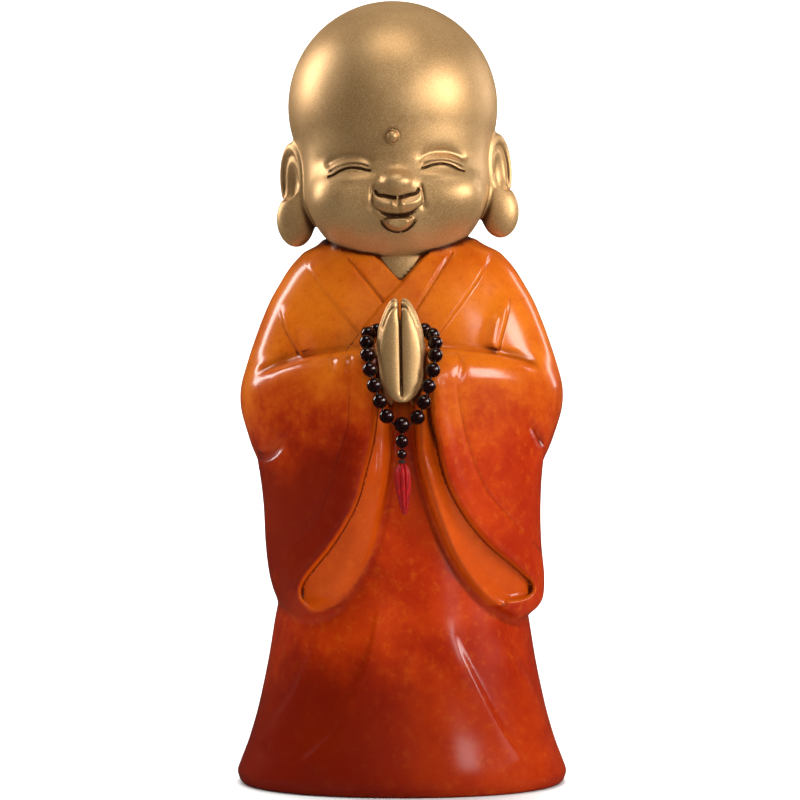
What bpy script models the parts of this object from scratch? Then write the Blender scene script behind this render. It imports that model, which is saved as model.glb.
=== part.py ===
"""Baby monk statue: a cast resin figure in a long robe, with joined hands, prayer beads and a tassel."""
import functools
import itertools
import math

import bmesh
import bpy
import numpy as np
from mathutils import Matrix, Vector
from mathutils.bvhtree import BVHTree

# Driving sizes in metres
FIGURE_HEIGHT = 0.370
BEAD_DIAMETER = 0.0070
GURU_BEAD_DIAMETER = 0.0077
UPPER_DROP_DIAMETER = 0.0062
LOWER_DROP_DIAMETER = 0.0045
BEAD_BORE = 0.0022
DROP_BORE = 0.0016
THREAD_DIAMETER = 0.0008
BEAD_GAP = 0.00040
FIGURE_CLEARANCE = 0.00090
KNOT_DIAMETER = 0.0034
KNOT_HEIGHT = 0.0014
TASSEL_LENGTH = 0.0225
TASSEL_DIAMETER = 0.0074
TASSEL_RIDGES = 8
TASSEL_ROWS = 9
TASSEL_GROOVE = 0.16
TASSEL_SWING = 0.055
GIRTH_AT_TOP = 0.5
WIDEST_AT = 0.3
GIRTH_AT_TIP = 0.3

# The free form is drawn in shares: a share is one 370th of the figure's height, x to the right,
# y to the back, z up from the table
SHARES = 370.0
SHARE = FIGURE_HEIGHT / SHARES
GRID_STEP = 2.0
FIGURE_TRIANGLES = 5600
BASE_BAND = 0.4
LINE_PARTS = 6
PROFILE_PARTS = 12
NARROWEST_LINE = 1.3

# Neck between the collar and the head
NECK_START = (-1.0, -3.0, 232.0)
NECK_END = (-1.0, -3.0, 258.0)
NECK_FOOT = 226.0
NECK_RADII = (29.0, 28.0)
LOW_CORNER = (-84.0, -82.0, -5.0)
HIGH_CORNER = (86.0, 68.0, 375.0)

# Head: its own frame leans a little to the viewer's left
HEAD_CENTRE = (-2.7, 0.0, 283.0)
HEAD_LEAN = 0.0454
SKULL = ((0.0, 4.0, 36.6), (50.0, 54.0, 50.2))
FACE = ((0.0, -9.0, -2.0), (43.6, 39.0, 37.6))

# Robe profiles: height and half size at that height
BODY_WIDTH = ((0, 76.2), (5, 77.9), (9, 76.8), (14, 74.9), (19, 73.0), (28, 70.2), (38, 67.6), (57, 63.6),
              (76, 60.5), (90, 58.0), (115, 55.0), (140, 53.0), (190, 55.0), (235, 50.0), (250, 40.0),
              (262, 24.0))
BODY_FRONT = ((0, 58.5), (8, 60.0), (30, 56.0), (60, 51.5), (85, 48.5), (115, 45.5), (140, 43.0), (165, 40.0),
              (190, 36.0), (212, 33.5), (240, 32.5), (250, 30.0), (262, 22.0))
BODY_BACK = ((0, 57.5), (8, 59.0), (30, 54.0), (60, 50.0), (85, 47.0), (115, 45.0), (165, 46.0), (190, 46.0),
             (212, 44.0), (235, 39.0), (250, 32.0), (262, 22.0))
SHOULDER_WIDTH = ((140, 44.0), (148, 58.0), (156, 66.5), (166, 71.0), (175, 74.6), (183, 75.6), (190, 75.2),
                  (199, 73.1), (209, 69.8), (218, 66.5), (228, 62.2), (237, 57.0), (242, 53.7), (247, 49.6),
                  (251, 45.0), (256, 32.0), (262, 16.0))
SHOULDER_FRONT = ((140, 20.0), (156, 31.0), (183, 37.0), (209, 37.0), (228, 33.5), (242, 28.0), (251, 21.0),
                  (262, 10.0))
SHOULDER_BACK = ((140, 22.0), (156, 32.0), (183, 39.0), (209, 40.0), (228, 38.0), (242, 32.0), (251, 25.0),
                 (262, 12.0))

# Sleeves: outline seen from the front as (x, z), then where its back face lies at each height
LEFT_SLEEVE = ((-6, 196), (-14, 203), (-34, 201.5), (-60, 197), (-72, 186), (-72.5, 170), (-67.5, 150),
               (-65, 132), (-64, 113), (-62, 98), (-58, 87), (-50, 80), (-41, 78.5), (-31, 83), (-22.5, 92),
               (-14, 109), (-8.5, 131), (-5.2, 151), (-4.5, 166))
RIGHT_SLEEVE = ((6, 196), (14, 203.5), (34, 202.5), (58, 199), (71, 187), (71, 170), (66.5, 153), (65, 132),
                (65.5, 113), (67, 97), (66, 86), (59, 80), (50, 79), (36, 89), (24, 105), (15.5, 124),
                (8, 148), (5.8, 166))
SLEEVE_FRONT = 60.0
SLEEVE_SWEEP = 35.0
SLEEVE_INNER = 9.0
SLEEVE_SPAN = 62.0
SLEEVE_BACK = ((76, -8.0), (100, 4.0), (130, 16.0), (165, 28.0), (205, 33.0))

# Lines carved on the front of the robe, as (x, z) points
LEFT_CUFF_EDGE = ((-12, 186), (-13.5, 172), (-15, 162), (-18, 149), (-23, 132), (-33, 115), (-47, 98),
                  (-50, 90))
RIGHT_CUFF_EDGE = ((13, 186), (14.5, 172), (17, 162), (21, 145), (28.5, 130), (39.5, 116), (53, 105),
                   (62, 96))
LEFT_CUFF_FOLD = ((-22, 197), (-24, 182), (-25, 168), (-28, 158), (-36, 133), (-45, 119), (-55, 107))
RIGHT_CUFF_FOLD = ((24, 196), (27, 175), (31.5, 157), (38.5, 140), (49, 127), (60, 115))
LEFT_RIM = ((-4.5, 190), (-4.5, 162), (-5.2, 151), (-8.5, 131), (-14, 110), (-22.5, 95), (-31, 86), (-43, 81))
RIGHT_RIM = ((5.5, 190), (5.9, 162), (7.2, 150), (15.3, 124), (22.7, 107), (35.8, 90), (47.6, 81), (58, 82))
NECK_EDGE_LEFT = ((-13, 247), (-0.4, 233), (3, 229))
NECK_EDGE_RIGHT = ((12, 248), (-0.5, 233.5), (-8.5, 225), (-17, 214))
INNER_SEAM_LEFT = ((-26, 247), (-8.5, 225), (0, 214))
INNER_SEAM_RIGHT = ((24, 250), (7, 223), (-3, 207))
OUTER_SEAM_LEFT = ((-48, 248), (-34, 229), (-19, 210), (-12, 200))
OUTER_SEAM_RIGHT = ((43, 252), (34.5, 235), (16.5, 210), (10, 200))
COLLAR_RAISE = 1.2
NECK_RECESS = 5.0
CUFF_RAISE = 1.0
MOUTH_EDGE = 4.0
RIM_EDGE = 4.0

# Sleeves: outline, cuff's edge, cuff's fold, rim, side, and the mouth's step, channel depth and rim roll
SLEEVES = (
    (LEFT_SLEEVE, LEFT_CUFF_FOLD, (LEFT_CUFF_EDGE, LEFT_RIM, 1.0, 2.8, -0.6, 0.0)),
    (RIGHT_SLEEVE, RIGHT_CUFF_FOLD, (RIGHT_CUFF_EDGE, RIGHT_RIM, -1.0, 3.4, 2.6, 2.4)),
)

# Creases: points, half width and depth; folds: points, side of the drop, half width and height
CREASES = (
    (((-72, 159), (-65, 154.5), (-58, 157.5), (-53, 166)), 2.2, 2.2),
    (((58, 173), (62, 165), (67, 157)), 2.2, 2.0),
    (((-70, 190), (-63, 194.5), (-54, 198), (-46, 199)), 2.4, 1.0),
    (((67, 194), (58, 198.5), (48, 201.5), (40, 202)), 2.4, 1.0),
    (((-33, 203), (-31.5, 197), (-33, 190)), 1.6, 0.5),
    (((-25, 203), (-23.5, 197), (-25, 189)), 1.5, 0.5),
    (((26, 203), (27, 195), (25.5, 187)), 1.5, 0.5),
)
CHEST_FOLDS = (
    (((-57, 225), (-53, 214), (-48, 205), (-45.5, 199)), -1.0, 1.5, 1.7),
    (((-48.5, 216), (-47, 208), (-45, 202)), -1.0, 1.2, 0.8),
    (((49, 231), (48, 222), (45, 210), (43, 202)), 1.0, 1.5, 1.8),
    (((44.5, 221), (42.5, 212), (41.5, 205)), 1.0, 1.1, 0.7),
)
SKIRT_FOLDS = (
    (((-8, 94), (-10.5, 80), (-15.7, 59), (-29, 30.5), (-48, 11.5)), -1.0, 2.2, 1.5),
    (((-36, 76), (-42.5, 60), (-50, 43.7), (-58, 32), (-67, 19)), -1.0, 2.2, 1.3),
    (((21, 82), (24, 70), (29.8, 57), (45, 28.7), (59.2, 10.5)), 1.0, 2.2, 1.5),
    (((47, 74), (51, 61), (58.2, 47.5), (71.4, 22.9)), 1.0, 2.2, 1.3),
)
BACK_FOLDS = (
    (((-30, 150), (-33, 100), (-40, 55), (-50, 14)), -1.0, 4.0, 2.0),
    (((-6, 165), (-8, 110), (-11, 60), (-18, 12)), -1.0, 4.0, 1.7),
    (((16, 160), (17, 105), (20, 60), (24, 12)), 1.0, 4.0, 1.7),
    (((36, 155), (39, 100), (46, 60), (58, 16)), 1.0, 4.0, 2.0),
)

# Face lines in the head's frame, as (x, z) points
EYE_SLIT = ((-32.2, 0.9), (-29, 1.7), (-25.5, 3.5), (-21.5, 4.5), (-17, 4.0), (-13.5, 2.9), (-10.8, 2.4))
EYE_LID_LINE = ((-31.5, 3.2), (-27.5, 5.2), (-21.8, 6.6), (-16.2, 6.0), (-11.6, 4.2))
EYE_SOCKET = ((-33, 5.4), (-28.6, 8.6), (-23.5, 10.4), (-17.5, 10.2), (-12.9, 8.0), (-10.6, 4.6))
LOWER_LIP = ((-8.2, -17.8), (-5.6, -21.8), (-2.2, -24.4), (1.8, -24.6), (5.6, -22.4), (8.4, -17.8))
CHEEK_LINE = ((-9.0, -1.6), (-10.8, -4.6), (-11.8, -9.0), (-12.0, -13.4))

# Joined hands: half width seen from the front at each height, then for each finger from the little one
# back its height above the hand's outline, share of its width and how far behind the front it lies
HAND_WIDTH = ((178.8, 0.4), (179.6, 3.4), (182.5, 6.6), (187, 8.8), (191.5, 9.9), (198, 10.8), (205, 11.2),
              (211.8, 10.3), (216.3, 8.9), (220.8, 7.1), (225.3, 4.5), (227.4, 2.2), (228.2, 0.3))
FINGERS = ((-6.5, 0.80, 3.4), (-1.8, 0.92, 8.4), (0.0, 1.0, 13.4), (-2.6, 0.98, 18.2))
FINGER_RADIUS = 3.5
HAND_DEPTH = 22.5
HAND_LEAN = 0.02

# Where the chest behind the hands is measured, and the room kept there for the lapels
CHEST_HEIGHT = 211.0
LAPEL_ROOM = 3.45

# Route of the bead loop up the viewer's left side, over the back of the hands and down the right, as
# (x, y, z) from the guru bead; y here only says how far in front of the chest it runs
LOOP_ROUTE = (
    (0.0, -66.0, 168.5), (-6.8, -65.5, 172.0), (-9.8, -67.5, 179.0), (-12.8, -68.5, 187.0),
    (-15.2, -67.0, 196.5), (-15.6, -60.5, 206.0), (-12.5, -51.0, 211.0), (-7.0, -43.2, 213.0),
    (0.5, -41.6, 214.0), (7.8, -43.2, 213.0), (13.0, -51.0, 210.5), (15.4, -60.5, 205.5),
    (14.6, -67.0, 196.0), (12.0, -68.5, 187.0), (9.8, -67.5, 179.0), (7.2, -65.5, 172.0),
)
ROUTE_HAND_GAP = 10.3
LOOP_TAUTNESS = 0.965
RELAX_STEPS = 240


def clear_scene():
    for thing in list(bpy.data.objects):
        bpy.data.objects.remove(thing, do_unlink=True)


def paint(name, colour, roughness, metallic=0.0):
    material = bpy.data.materials.new(name)
    material.use_nodes = True
    shader = material.node_tree.nodes["Principled BSDF"]
    shader.inputs["Base Color"].default_value = (*colour, 1.0)
    shader.inputs["Roughness"].default_value = roughness
    shader.inputs["Metallic"].default_value = metallic
    material.diffuse_color = (*colour, 1.0)
    return material


def smoothstep(value):
    held = np.clip(value, 0.0, 1.0)
    return held * held * (3.0 - 2.0 * held)


def blend(first, second, radius):
    """Union of two fields with a fillet of about this radius."""
    share = np.clip(0.5 + 0.5 * (second - first) / radius, 0.0, 1.0)
    return second + (first - second) * share - radius * share * (1.0 - share)


def meet(first, second, radius):
    """Intersection of two fields with a rounded edge."""
    return -blend(-first, -second, radius)


def carve(body, tool, radius):
    """Body without the tool, with a rounded edge."""
    return -blend(-body, tool, radius)


def ellipsoid(point, centre, radii):
    scaled = [(point[i] - centre[i]) / radii[i] for i in range(3)]
    reach = np.sqrt(sum(s * s for s in scaled))
    slope = np.sqrt(sum((scaled[i] / radii[i]) ** 2 for i in range(3)))
    return reach * (reach - 1.0) / np.maximum(slope, 1e-6)


def limb(point, start, end, start_radius, end_radius):
    """Capsule that tapers from one round end to the other."""
    axis = [end[i] - start[i] for i in range(3)]
    length = sum(a * a for a in axis)
    along = sum((point[i] - start[i]) * axis[i] for i in range(3)) / length
    along = np.clip(along, 0.0, 1.0)
    gap = np.sqrt(sum((point[i] - start[i] - along * axis[i]) ** 2 for i in range(3)))
    return gap - start_radius - (end_radius - start_radius) * along


def curve_through(points, closed=False, parts=12):
    """Smooth curve through points, by Catmull and Rom's rule."""
    points = np.asarray(points, dtype=float)
    count = len(points)
    if closed:
        padded = np.vstack([points[-1:], points, points[:2]])
        spans = count
    else:
        padded = np.vstack([2 * points[:1] - points[1:2], points, 2 * points[-1:] - points[-2:-1]])
        spans = count - 1
    steps = np.arange(parts)[:, None] / parts
    pieces = []
    for i in range(spans):
        a, b, c, d = padded[i:i + 4]
        pieces.append(0.5 * (2 * b + (c - a) * steps + (2 * a - 5 * b + 4 * c - d) * steps ** 2
                             + (3 * b - a - 3 * c + d) * steps ** 3))
    if not closed:
        pieces.append(points[-1:])
    return np.vstack(pieces)


@functools.lru_cache(maxsize=None)
def smooth_line(points, closed=False, parts=12):
    """Smooth curve through a line's points, kept for the next time it is asked for."""
    return curve_through(points, closed, parts)


def at_height(table, height):
    """Value of a profile table at each height, along a smooth curve."""
    dense = smooth_line(table, False, PROFILE_PARTS)
    return np.interp(height, dense[:, 0], dense[:, 1])


def where(mask, fallback, work, *arrays):
    """Result of the work at the masked spots, and the fallback at the others."""
    result = np.full(mask.shape, float(fallback))
    if mask.any():
        result[mask] = work(*(a[mask] for a in arrays))
    return result


def near_line(x, z, points, reach):
    """Which spots lie in a box this much larger than a line."""
    spots = np.asarray(points, dtype=float)
    low = spots.min(axis=0) - reach
    high = spots.max(axis=0) + reach
    return (x > low[0]) & (x < high[0]) & (z > low[1]) & (z < high[1])


def line_field(x, z, points):
    """Distance from each point to a line drawn in the x and z plane, its side, and how far along it is."""
    points = smooth_line(points, False, LINE_PARTS)
    starts = points[:-1]
    steps = points[1:] - starts
    lengths = np.hypot(steps[:, 0], steps[:, 1])
    run = np.concatenate([[0.0], np.cumsum(lengths)])
    best = np.full(x.shape, 1e9)
    side = np.ones(x.shape)
    share = np.zeros(x.shape)
    for i in range(len(starts)):
        dx = x - starts[i, 0]
        dz = z - starts[i, 1]
        along = np.clip((dx * steps[i, 0] + dz * steps[i, 1]) / lengths[i] ** 2, 0.0, 1.0)
        gap = np.hypot(dx - along * steps[i, 0], dz - along * steps[i, 1])
        nearer = gap < best
        best = np.where(nearer, gap, best)
        side = np.where(nearer, np.sign(steps[i, 0] * dz - steps[i, 1] * dx), side)
        share = np.where(nearer, (run[i] + along * lengths[i]) / run[-1], share)
    return best, side, share


def outline_field(x, z, points):
    """Signed distance to a closed outline drawn in the x and z plane, negative inside."""
    points = smooth_line(points, True, LINE_PARTS)
    best = np.full(x.shape, 1e9)
    inside = np.zeros(x.shape, dtype=bool)
    for start, end in zip(points, np.roll(points, -1, axis=0)):
        step = end - start
        dx = x - start[0]
        dz = z - start[1]
        along = np.clip((dx * step[0] + dz * step[1]) / (step @ step), 0.0, 1.0)
        best = np.minimum(best, np.hypot(dx - along * step[0], dz - along * step[1]))
        crosses = (start[1] > z) != (end[1] > z)
        if step[1] != 0.0:
            inside ^= crosses & (x < start[0] + (z - start[1]) * step[0] / step[1])
    return np.where(inside, -best, best)


def crease(x, z, points, width, depth, fading=0.35):
    """Depth of a soft groove that fades over this share of its length at both ends."""
    width = max(width, NARROWEST_LINE)

    def work(x, z):
        gap, _, share = line_field(x, z, points)
        fade = smoothstep(share / fading) * smoothstep((1.0 - share) / fading)
        return depth * fade * np.exp(-(gap / width) ** 2)
    return where(near_line(x, z, points, 3.0 * width), 0.0, work, x, z)


def fold(x, z, points, outward, width, height):
    """Rise of a fold of cloth: slow up to its line from the inner side, a quick drop on the outer side."""
    def work(x, z):
        gap, side, share = line_field(x, z, points)
        across = outward * gap * side
        fade = smoothstep(share / 0.30) * smoothstep((1.0 - share) / 0.10)
        rise = np.exp(-(np.minimum(across, 0.0) / (3.2 * width)) ** 2)
        drop = 1.0 - smoothstep(across / (1.5 * width))
        return -height * fade * rise * drop
    return where(near_line(x, z, points, 9.0 * width), 0.0, work, x, z)


def across_line(x, z, points):
    """Signed distance across a line: positive on its left, looking from the first point to the last."""
    gap, side, _ = line_field(x, z, points)
    return gap * side


def oval_loft(point, width, front, back, power):
    """Body whose level cuts are ovals, deeper in front than behind or the other way about."""
    x, y, z = point
    half_width = at_height(width, z)
    half_depth = np.where(y < 0.0, at_height(front, z), at_height(back, z))
    a = np.abs(x) / half_width
    b = np.abs(y) / half_depth
    reach = np.maximum((a ** power + b ** power) ** (1.0 / power), 1e-4)
    slope = np.hypot((a / reach) ** (power - 1.0) / half_width, (b / reach) ** (power - 1.0) / half_depth)
    return (reach - 1.0) / np.maximum(slope, 1e-6)


def sleeve(point, outline):
    """One hanging sleeve, from the forearm's top down to the low corner of its mouth."""
    x, y, z = point
    reach = np.clip((np.abs(x) - SLEEVE_INNER) / SLEEVE_SPAN, 0.0, 1.3)
    front = -SLEEVE_FRONT + SLEEVE_SWEEP * reach ** 1.6 + 4.0 * smoothstep((150.0 - z) / 70.0)
    back = at_height(SLEEVE_BACK, z)
    slab = meet(front - y, y - back, 10.0)
    return meet(outline_field(x, z, outline), slab, 13.0)


def sleeve_mouth(x, z, cuff_edge, rim, hand, step, channel, roll):
    """Depth of the long opening between the cuff's edge and the roll along the lower cloth's rim."""
    below_cuff = hand * across_line(x, z, cuff_edge)
    above_rim = -hand * across_line(x, z, rim) - roll
    width = np.maximum(below_cuff, 0.0) + np.maximum(above_rim, 0.0)
    share = np.clip(below_cuff / np.maximum(width, 1.0), 0.0, 1.0)
    shape = smoothstep(below_cuff / MOUTH_EDGE) * smoothstep(above_rim / RIM_EDGE)
    ends = smoothstep((186.0 - z) / 12.0) * smoothstep((z - 80.0) / 12.0)
    step = step + 3.0 * smoothstep((z - 135.0) / 30.0)
    return ends * shape * (step * (1.0 - share) + channel * np.sin(np.pi * share ** 0.8))


def cuff_band(x, z, cuff_edge, cuff_fold, hand):
    """Raised band of cloth between the cuff's edge and the fold beside it."""
    inside_edge = -hand * across_line(x, z, cuff_edge)
    inside_fold = hand * across_line(x, z, cuff_fold)
    band = smoothstep((inside_edge + 0.5) / 1.5) * smoothstep((inside_fold + 2.0) / 5.0)
    ends = smoothstep((198.0 - z) / 8.0) * smoothstep((z - 88.0) / 10.0)
    return CUFF_RAISE * band * ends


def collar_relief(x, z):
    """Height of the crossed lapels over the chest, and the drop to the bare neck between them."""
    left_outer = across_line(x, z, OUTER_SEAM_LEFT)
    right_edge = across_line(x, z, NECK_EDGE_RIGHT)
    right_outer = across_line(x, z, OUTER_SEAM_RIGHT)
    left_edge = across_line(x, z, NECK_EDGE_LEFT)
    on_right = smoothstep(0.5 + right_edge / 1.4)
    on_left = smoothstep(0.5 + left_outer / 1.4) * (1.0 - on_right)
    on_right = on_right * smoothstep(0.5 - right_outer / 1.4)
    bare = smoothstep(0.5 + left_edge) * smoothstep(0.5 - right_edge) * smoothstep((z - 229.0) / 3.0)
    seams = crease(x, z, INNER_SEAM_LEFT, 0.8, 0.7, 0.05) * (1.0 - on_right)
    seams = seams + crease(x, z, INNER_SEAM_RIGHT, 0.8, 0.7, 0.05)
    top = smoothstep((z - 196.0) / 6.0)
    return COLLAR_RAISE * top * (0.9 * on_left + 1.7 * on_right) - seams - NECK_RECESS * bare


def robe(point):
    x, y, z = point
    body = oval_loft(point, BODY_WIDTH, BODY_FRONT, BODY_BACK, 2.15)
    body = meet(body, z - 263.0, 10.0)
    shoulders = oval_loft(point, SHOULDER_WIDTH, SHOULDER_FRONT, SHOULDER_BACK, 2.4)
    shoulders = meet(meet(shoulders, 143.0 - z, 14.0), z - 262.0, 6.0)
    front = smoothstep((-y - 8.0) / 14.0)
    back = smoothstep((y - 8.0) / 14.0)
    body = blend(body, shoulders, 9.0)
    body = body - front * where((y < -8.0) & (z > 196.0), 0.0, collar_relief, x, z)
    for line in SKIRT_FOLDS + CHEST_FOLDS:
        body = body + front * fold(x, np.where(y < -8.0, z, -99.0), *line)
    for line in BACK_FOLDS:
        body = body + back * fold(x, np.where(y > 8.0, z, -99.0), *line)
    for outline, cuff_fold, mouth in SLEEVES:
        cuff_edge, _, hand = mouth[:3]
        near = (hand * x < 8.0) & (z > 60.0) & (z < 222.0)
        cloth = where(near, 25.0, lambda *spot: sleeve(spot, outline), x, y, z)
        near = near & (y < -8.0) & (z > 78.0) & (z < 200.0)
        hollow = where(near, 0.0, lambda *spot: sleeve_mouth(*spot, *mouth), x, z)
        band = where(near, 0.0, lambda *spot: cuff_band(*spot, cuff_edge, cuff_fold, hand), x, z)
        cloth = cloth + front * (hollow - band)
        body = blend(body, cloth, 3.0 + 6.0 * smoothstep((np.abs(x) - 50.0) / 20.0))
    for points, width, depth in CREASES:
        body = body + front * crease(x, np.where(y < -8.0, z, -99.0), points, width, depth)
    ring = np.hypot((x + 1.0) / 35.0, (y - 3.0) / 30.0)
    collar_top = 250.0 + 3.0 * np.clip((y - 3.0) / 30.0, -1.0, 1.0)
    collar = np.hypot((ring - 1.0) * 32.0, 0.6 * (z - collar_top)) - 4.2
    body = blend(body, collar, 3.0)
    return meet(body, -z, 2.0)


def head(point):
    """Head with its ears, in the leaning frame of the head."""
    lean_x = point[0] - HEAD_CENTRE[0]
    lean_z = point[2] - HEAD_CENTRE[2]
    x = lean_x + HEAD_LEAN * lean_z
    y = point[1]
    z = lean_z - HEAD_LEAN * lean_x
    spot = (x, y, z)
    mirrored = (-np.abs(x), y, z)
    shape = blend(ellipsoid(spot, *SKULL), ellipsoid(spot, *FACE), 10.0)
    shape = blend(shape, ellipsoid(spot, (0.0, -17.5, -14.5), (35.0, 29.0, 24.6)), 6.0)
    shape = blend(shape, ellipsoid(mirrored, (-22.0, -30.0, -9.0), (17.0, 16.0, 15.0)), 9.0)
    shape = shape + face_hollows(mirrored)
    shape = blend(shape, nose(mirrored), 3.0)
    shape = shape + face_lines(spot, mirrored)
    shape = blend(shape, ellipsoid(spot, (-0.9, -47.5, 17.5), (3.0, 3.6, 3.0)), 0.8)
    return blend(shape, ear(mirrored), 2.5)


def face_hollows(mirrored):
    """Soft sinking of the eye sockets, less over the lids themselves."""
    x, y, z = mirrored
    front = smoothstep((-y - 18.0) / 12.0)
    socket = 3.6 * np.exp(-((x + 21.5) / 13.5) ** 2 - ((z - 5.0) / 7.5) ** 2)
    lid = 2.6 * np.exp(-((x + 21.5) / 10.0) ** 2 - ((z - 5.5) / 3.6) ** 2)
    bag = 1.3 * np.exp(-((x + 20.5) / 9.0) ** 2 - ((z + 0.6) / 2.4) ** 2)
    bridge = 1.2 * np.exp(-(x / 9.0) ** 2 - ((z - 6.0) / 6.0) ** 2)
    return front * (socket - lid - bag + bridge)


def nose(mirrored):
    bridge = limb(mirrored, (0.0, -37.6, 6.0), (0.0, -41.4, -3.0), 4.6, 6.2)
    tip = ellipsoid(mirrored, (0.0, -46.6, -4.4), (6.6, 5.4, 4.4))
    wing = ellipsoid(mirrored, (-6.6, -44.8, -5.4), (3.5, 4.2, 3.4))
    return blend(blend(bridge, tip, 5.0), wing, 1.2)


def face_lines(spot, mirrored):
    """Eye lines, smile and lips as shallow relief on the front of the face."""
    x, y, z = spot
    fold_x, _, _ = mirrored
    front = smoothstep((-y - 20.0) / 10.0)
    relief = crease(fold_x, z, EYE_SLIT, 0.75, 1.9, 0.08)
    relief = relief + crease(fold_x, z, EYE_LID_LINE, 0.65, 1.2, 0.10)
    relief = relief + crease(fold_x, z, EYE_SOCKET, 1.8, 1.3, 0.15)
    relief = relief + crease(fold_x, z, CHEEK_LINE, 1.2, 1.5, 0.25)
    relief = relief + crease(x, z, LOWER_LIP, 0.9, 1.2, 0.15)
    middle = z + 19.0 - 0.036 * x * x
    opening = np.exp(-(x / 8.6) ** 4 - (middle / 0.9) ** 2)
    upper_lip = np.exp(-(x / 9.6) ** 4 - ((z + 14.9 - 0.02 * x * x) / 2.6) ** 2)
    lower_lip = np.exp(-(x / 7.8) ** 4 - ((middle + 3.4) / 2.5) ** 2)
    corner = np.exp(-((fold_x + 11.6) / 1.8) ** 2 - ((z + 14.2) / 2.0) ** 2)
    groove = np.exp(-(x / 1.1) ** 2 - ((z + 13.6) / 2.2) ** 2)
    flank = np.exp(-((np.abs(x) - 2.2) / 0.9) ** 2 - ((z + 13.8) / 2.2) ** 2)
    muzzle = np.exp(-(x / 13.0) ** 4 - ((z + 18.5) / 9.0) ** 4)
    relief = relief + 2.6 * opening - 2.7 * upper_lip - 4.4 * lower_lip + 1.0 * corner
    return front * (relief + 0.8 * groove - 0.5 * flank - 1.2 * muzzle)


def ear(mirrored):
    """Long ear with a rolled rim, a hollow and a full lobe."""
    x, y, z = mirrored
    out = -0.8 * (x + 46.6) - 0.6 * (y - 1.0)
    forward = 0.6 * (x + 46.6) - 0.8 * (y - 1.0)
    turned = (out, forward, z)
    plate = ellipsoid(turned, (0.0, 0.0, 3.5), (4.2, 9.4, 17.6))
    lobe = ellipsoid(mirrored, (-48.4, -3.0, -15.6), (9.2, 6.4, 12.8))
    shape = blend(plate, lobe, 8.0)
    round_the_ear = np.hypot(forward / 8.0, (z - 4.0) / 14.8)
    rim = np.hypot((round_the_ear - 1.0) * 11.0, out - 2.6) - 2.2
    rim = meet(rim, -(z + 6.0), 3.0)
    shape = blend(shape, rim, 1.2)
    hollow = ellipsoid(turned, (6.4, 0.8, 2.5), (5.2, 4.8, 10.0))
    shape = carve(shape, hollow, 1.4)
    tragus = ellipsoid(turned, (2.6, 5.6, -1.5), (2.2, 2.4, 4.0))
    return blend(shape, tragus, 1.0)


def hands(point):
    """Both hands, palm to palm, little fingers to the front."""
    x, y, z = point
    x = x + 0.4 + HAND_LEAN * (z - 190.0)
    spot = (-np.abs(x), y, z)
    front = -chest_depth() - hand_gap() - HAND_DEPTH
    middle = front + 0.5 * HAND_DEPTH
    depth = 0.5 * HAND_DEPTH - 0.8 - 0.10 * np.abs(z - 196.0)
    shape = leaf(spot, 0.97 * at_height(HAND_WIDTH, z), middle, np.maximum(depth, 3.0))
    shape = meet(shape, z - 214.0, 3.0)
    foot, top = HAND_WIDTH[0][0], HAND_WIDTH[-1][0]
    for rise, share, behind in FINGERS:
        stretch = (top - foot) / (top - foot + rise)
        width = share * at_height(HAND_WIDTH, foot + (z - foot) * stretch)
        finger = leaf(spot, width, front + behind, FINGER_RADIUS)
        shape = blend(shape, finger, 0.5)
    shape = meet(shape, np.abs(z - 0.5 * (foot + top)) - 0.5 * (top - foot) - 0.2, 0.8)
    wrist = limb(spot, (-4.6, middle + 1.0, 191.0), (-7.5, middle + 14.0, 182.0), 5.0, 5.0)
    shape = blend(shape, wrist, 3.0)
    thumb = limb(spot, (-8.8, middle + 5.0, 198.0), (-9.4, middle + 4.0, 205.0), 2.6, 2.4)
    shape = blend(shape, thumb, 0.8)
    seam = np.exp(-(x / 2.4) ** 2)
    return shape + 2.2 * seam * smoothstep((z - 180.0) / 4.0)


def leaf(spot, width, middle, depth):
    """Oval section of this half width and half depth about a middle line."""
    x, y, _ = spot
    width = np.maximum(width, 0.3)
    a = np.abs(x) / width
    b = np.abs(y - middle) / depth
    reach = np.maximum(np.sqrt(a * a + b * b), 1e-4)
    slope = np.hypot(a / width, b / depth) / reach
    return (reach - 1.0) / np.maximum(slope, 0.05)


def chest_depth():
    """How far the chest and its lapels may stand in front of the figure's axis behind the hands."""
    return float(at_height(BODY_FRONT, CHEST_HEIGHT)) + LAPEL_ROOM


def hand_gap():
    """Room behind the hands for a bead and its clearances, in shares."""
    return (BEAD_DIAMETER + 2.0 * FIGURE_CLEARANCE) / SHARE + 1.5


def figure(point):
    """Signed distance to the whole casting, in shares."""
    shape = blend(robe(point), head_and_neck(point), 0.8)
    return blend(shape, hands(point), 0.8)


def head_and_neck(point):
    neck = limb(point, NECK_START, NECK_END, *NECK_RADII)
    neck = meet(neck, NECK_FOOT - point[2], 1.0)
    return blend(head(point), neck, 0.8)


def figure_slope(spots, reach=0.3):
    """Distance and outward direction at each spot, by small steps along the axes."""
    offsets = np.vstack([np.zeros((1, 3)), reach * np.eye(3), -reach * np.eye(3)])
    around = (spots[None] + offsets[:, None]).reshape(-1, 3)
    values = figure(tuple(around.T)).reshape(7, -1)
    slope = (values[1:4] - values[4:7]).T
    length = np.linalg.norm(slope, axis=1, keepdims=True)
    return values[0], slope / np.maximum(length, 1e-6), length[:, 0] / (2.0 * reach)


def sample_grid(step):
    axes = [np.arange(LOW_CORNER[i], HIGH_CORNER[i] + step, step) for i in range(3)]
    values = np.empty([len(a) for a in axes])
    slabs = 12
    for start in range(0, len(axes[2]), slabs):
        part = slice(start, start + slabs)
        point = np.meshgrid(axes[0], axes[1], axes[2][part], indexing="ij")
        values[:, :, part] = figure(point)
    return axes, values


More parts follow.
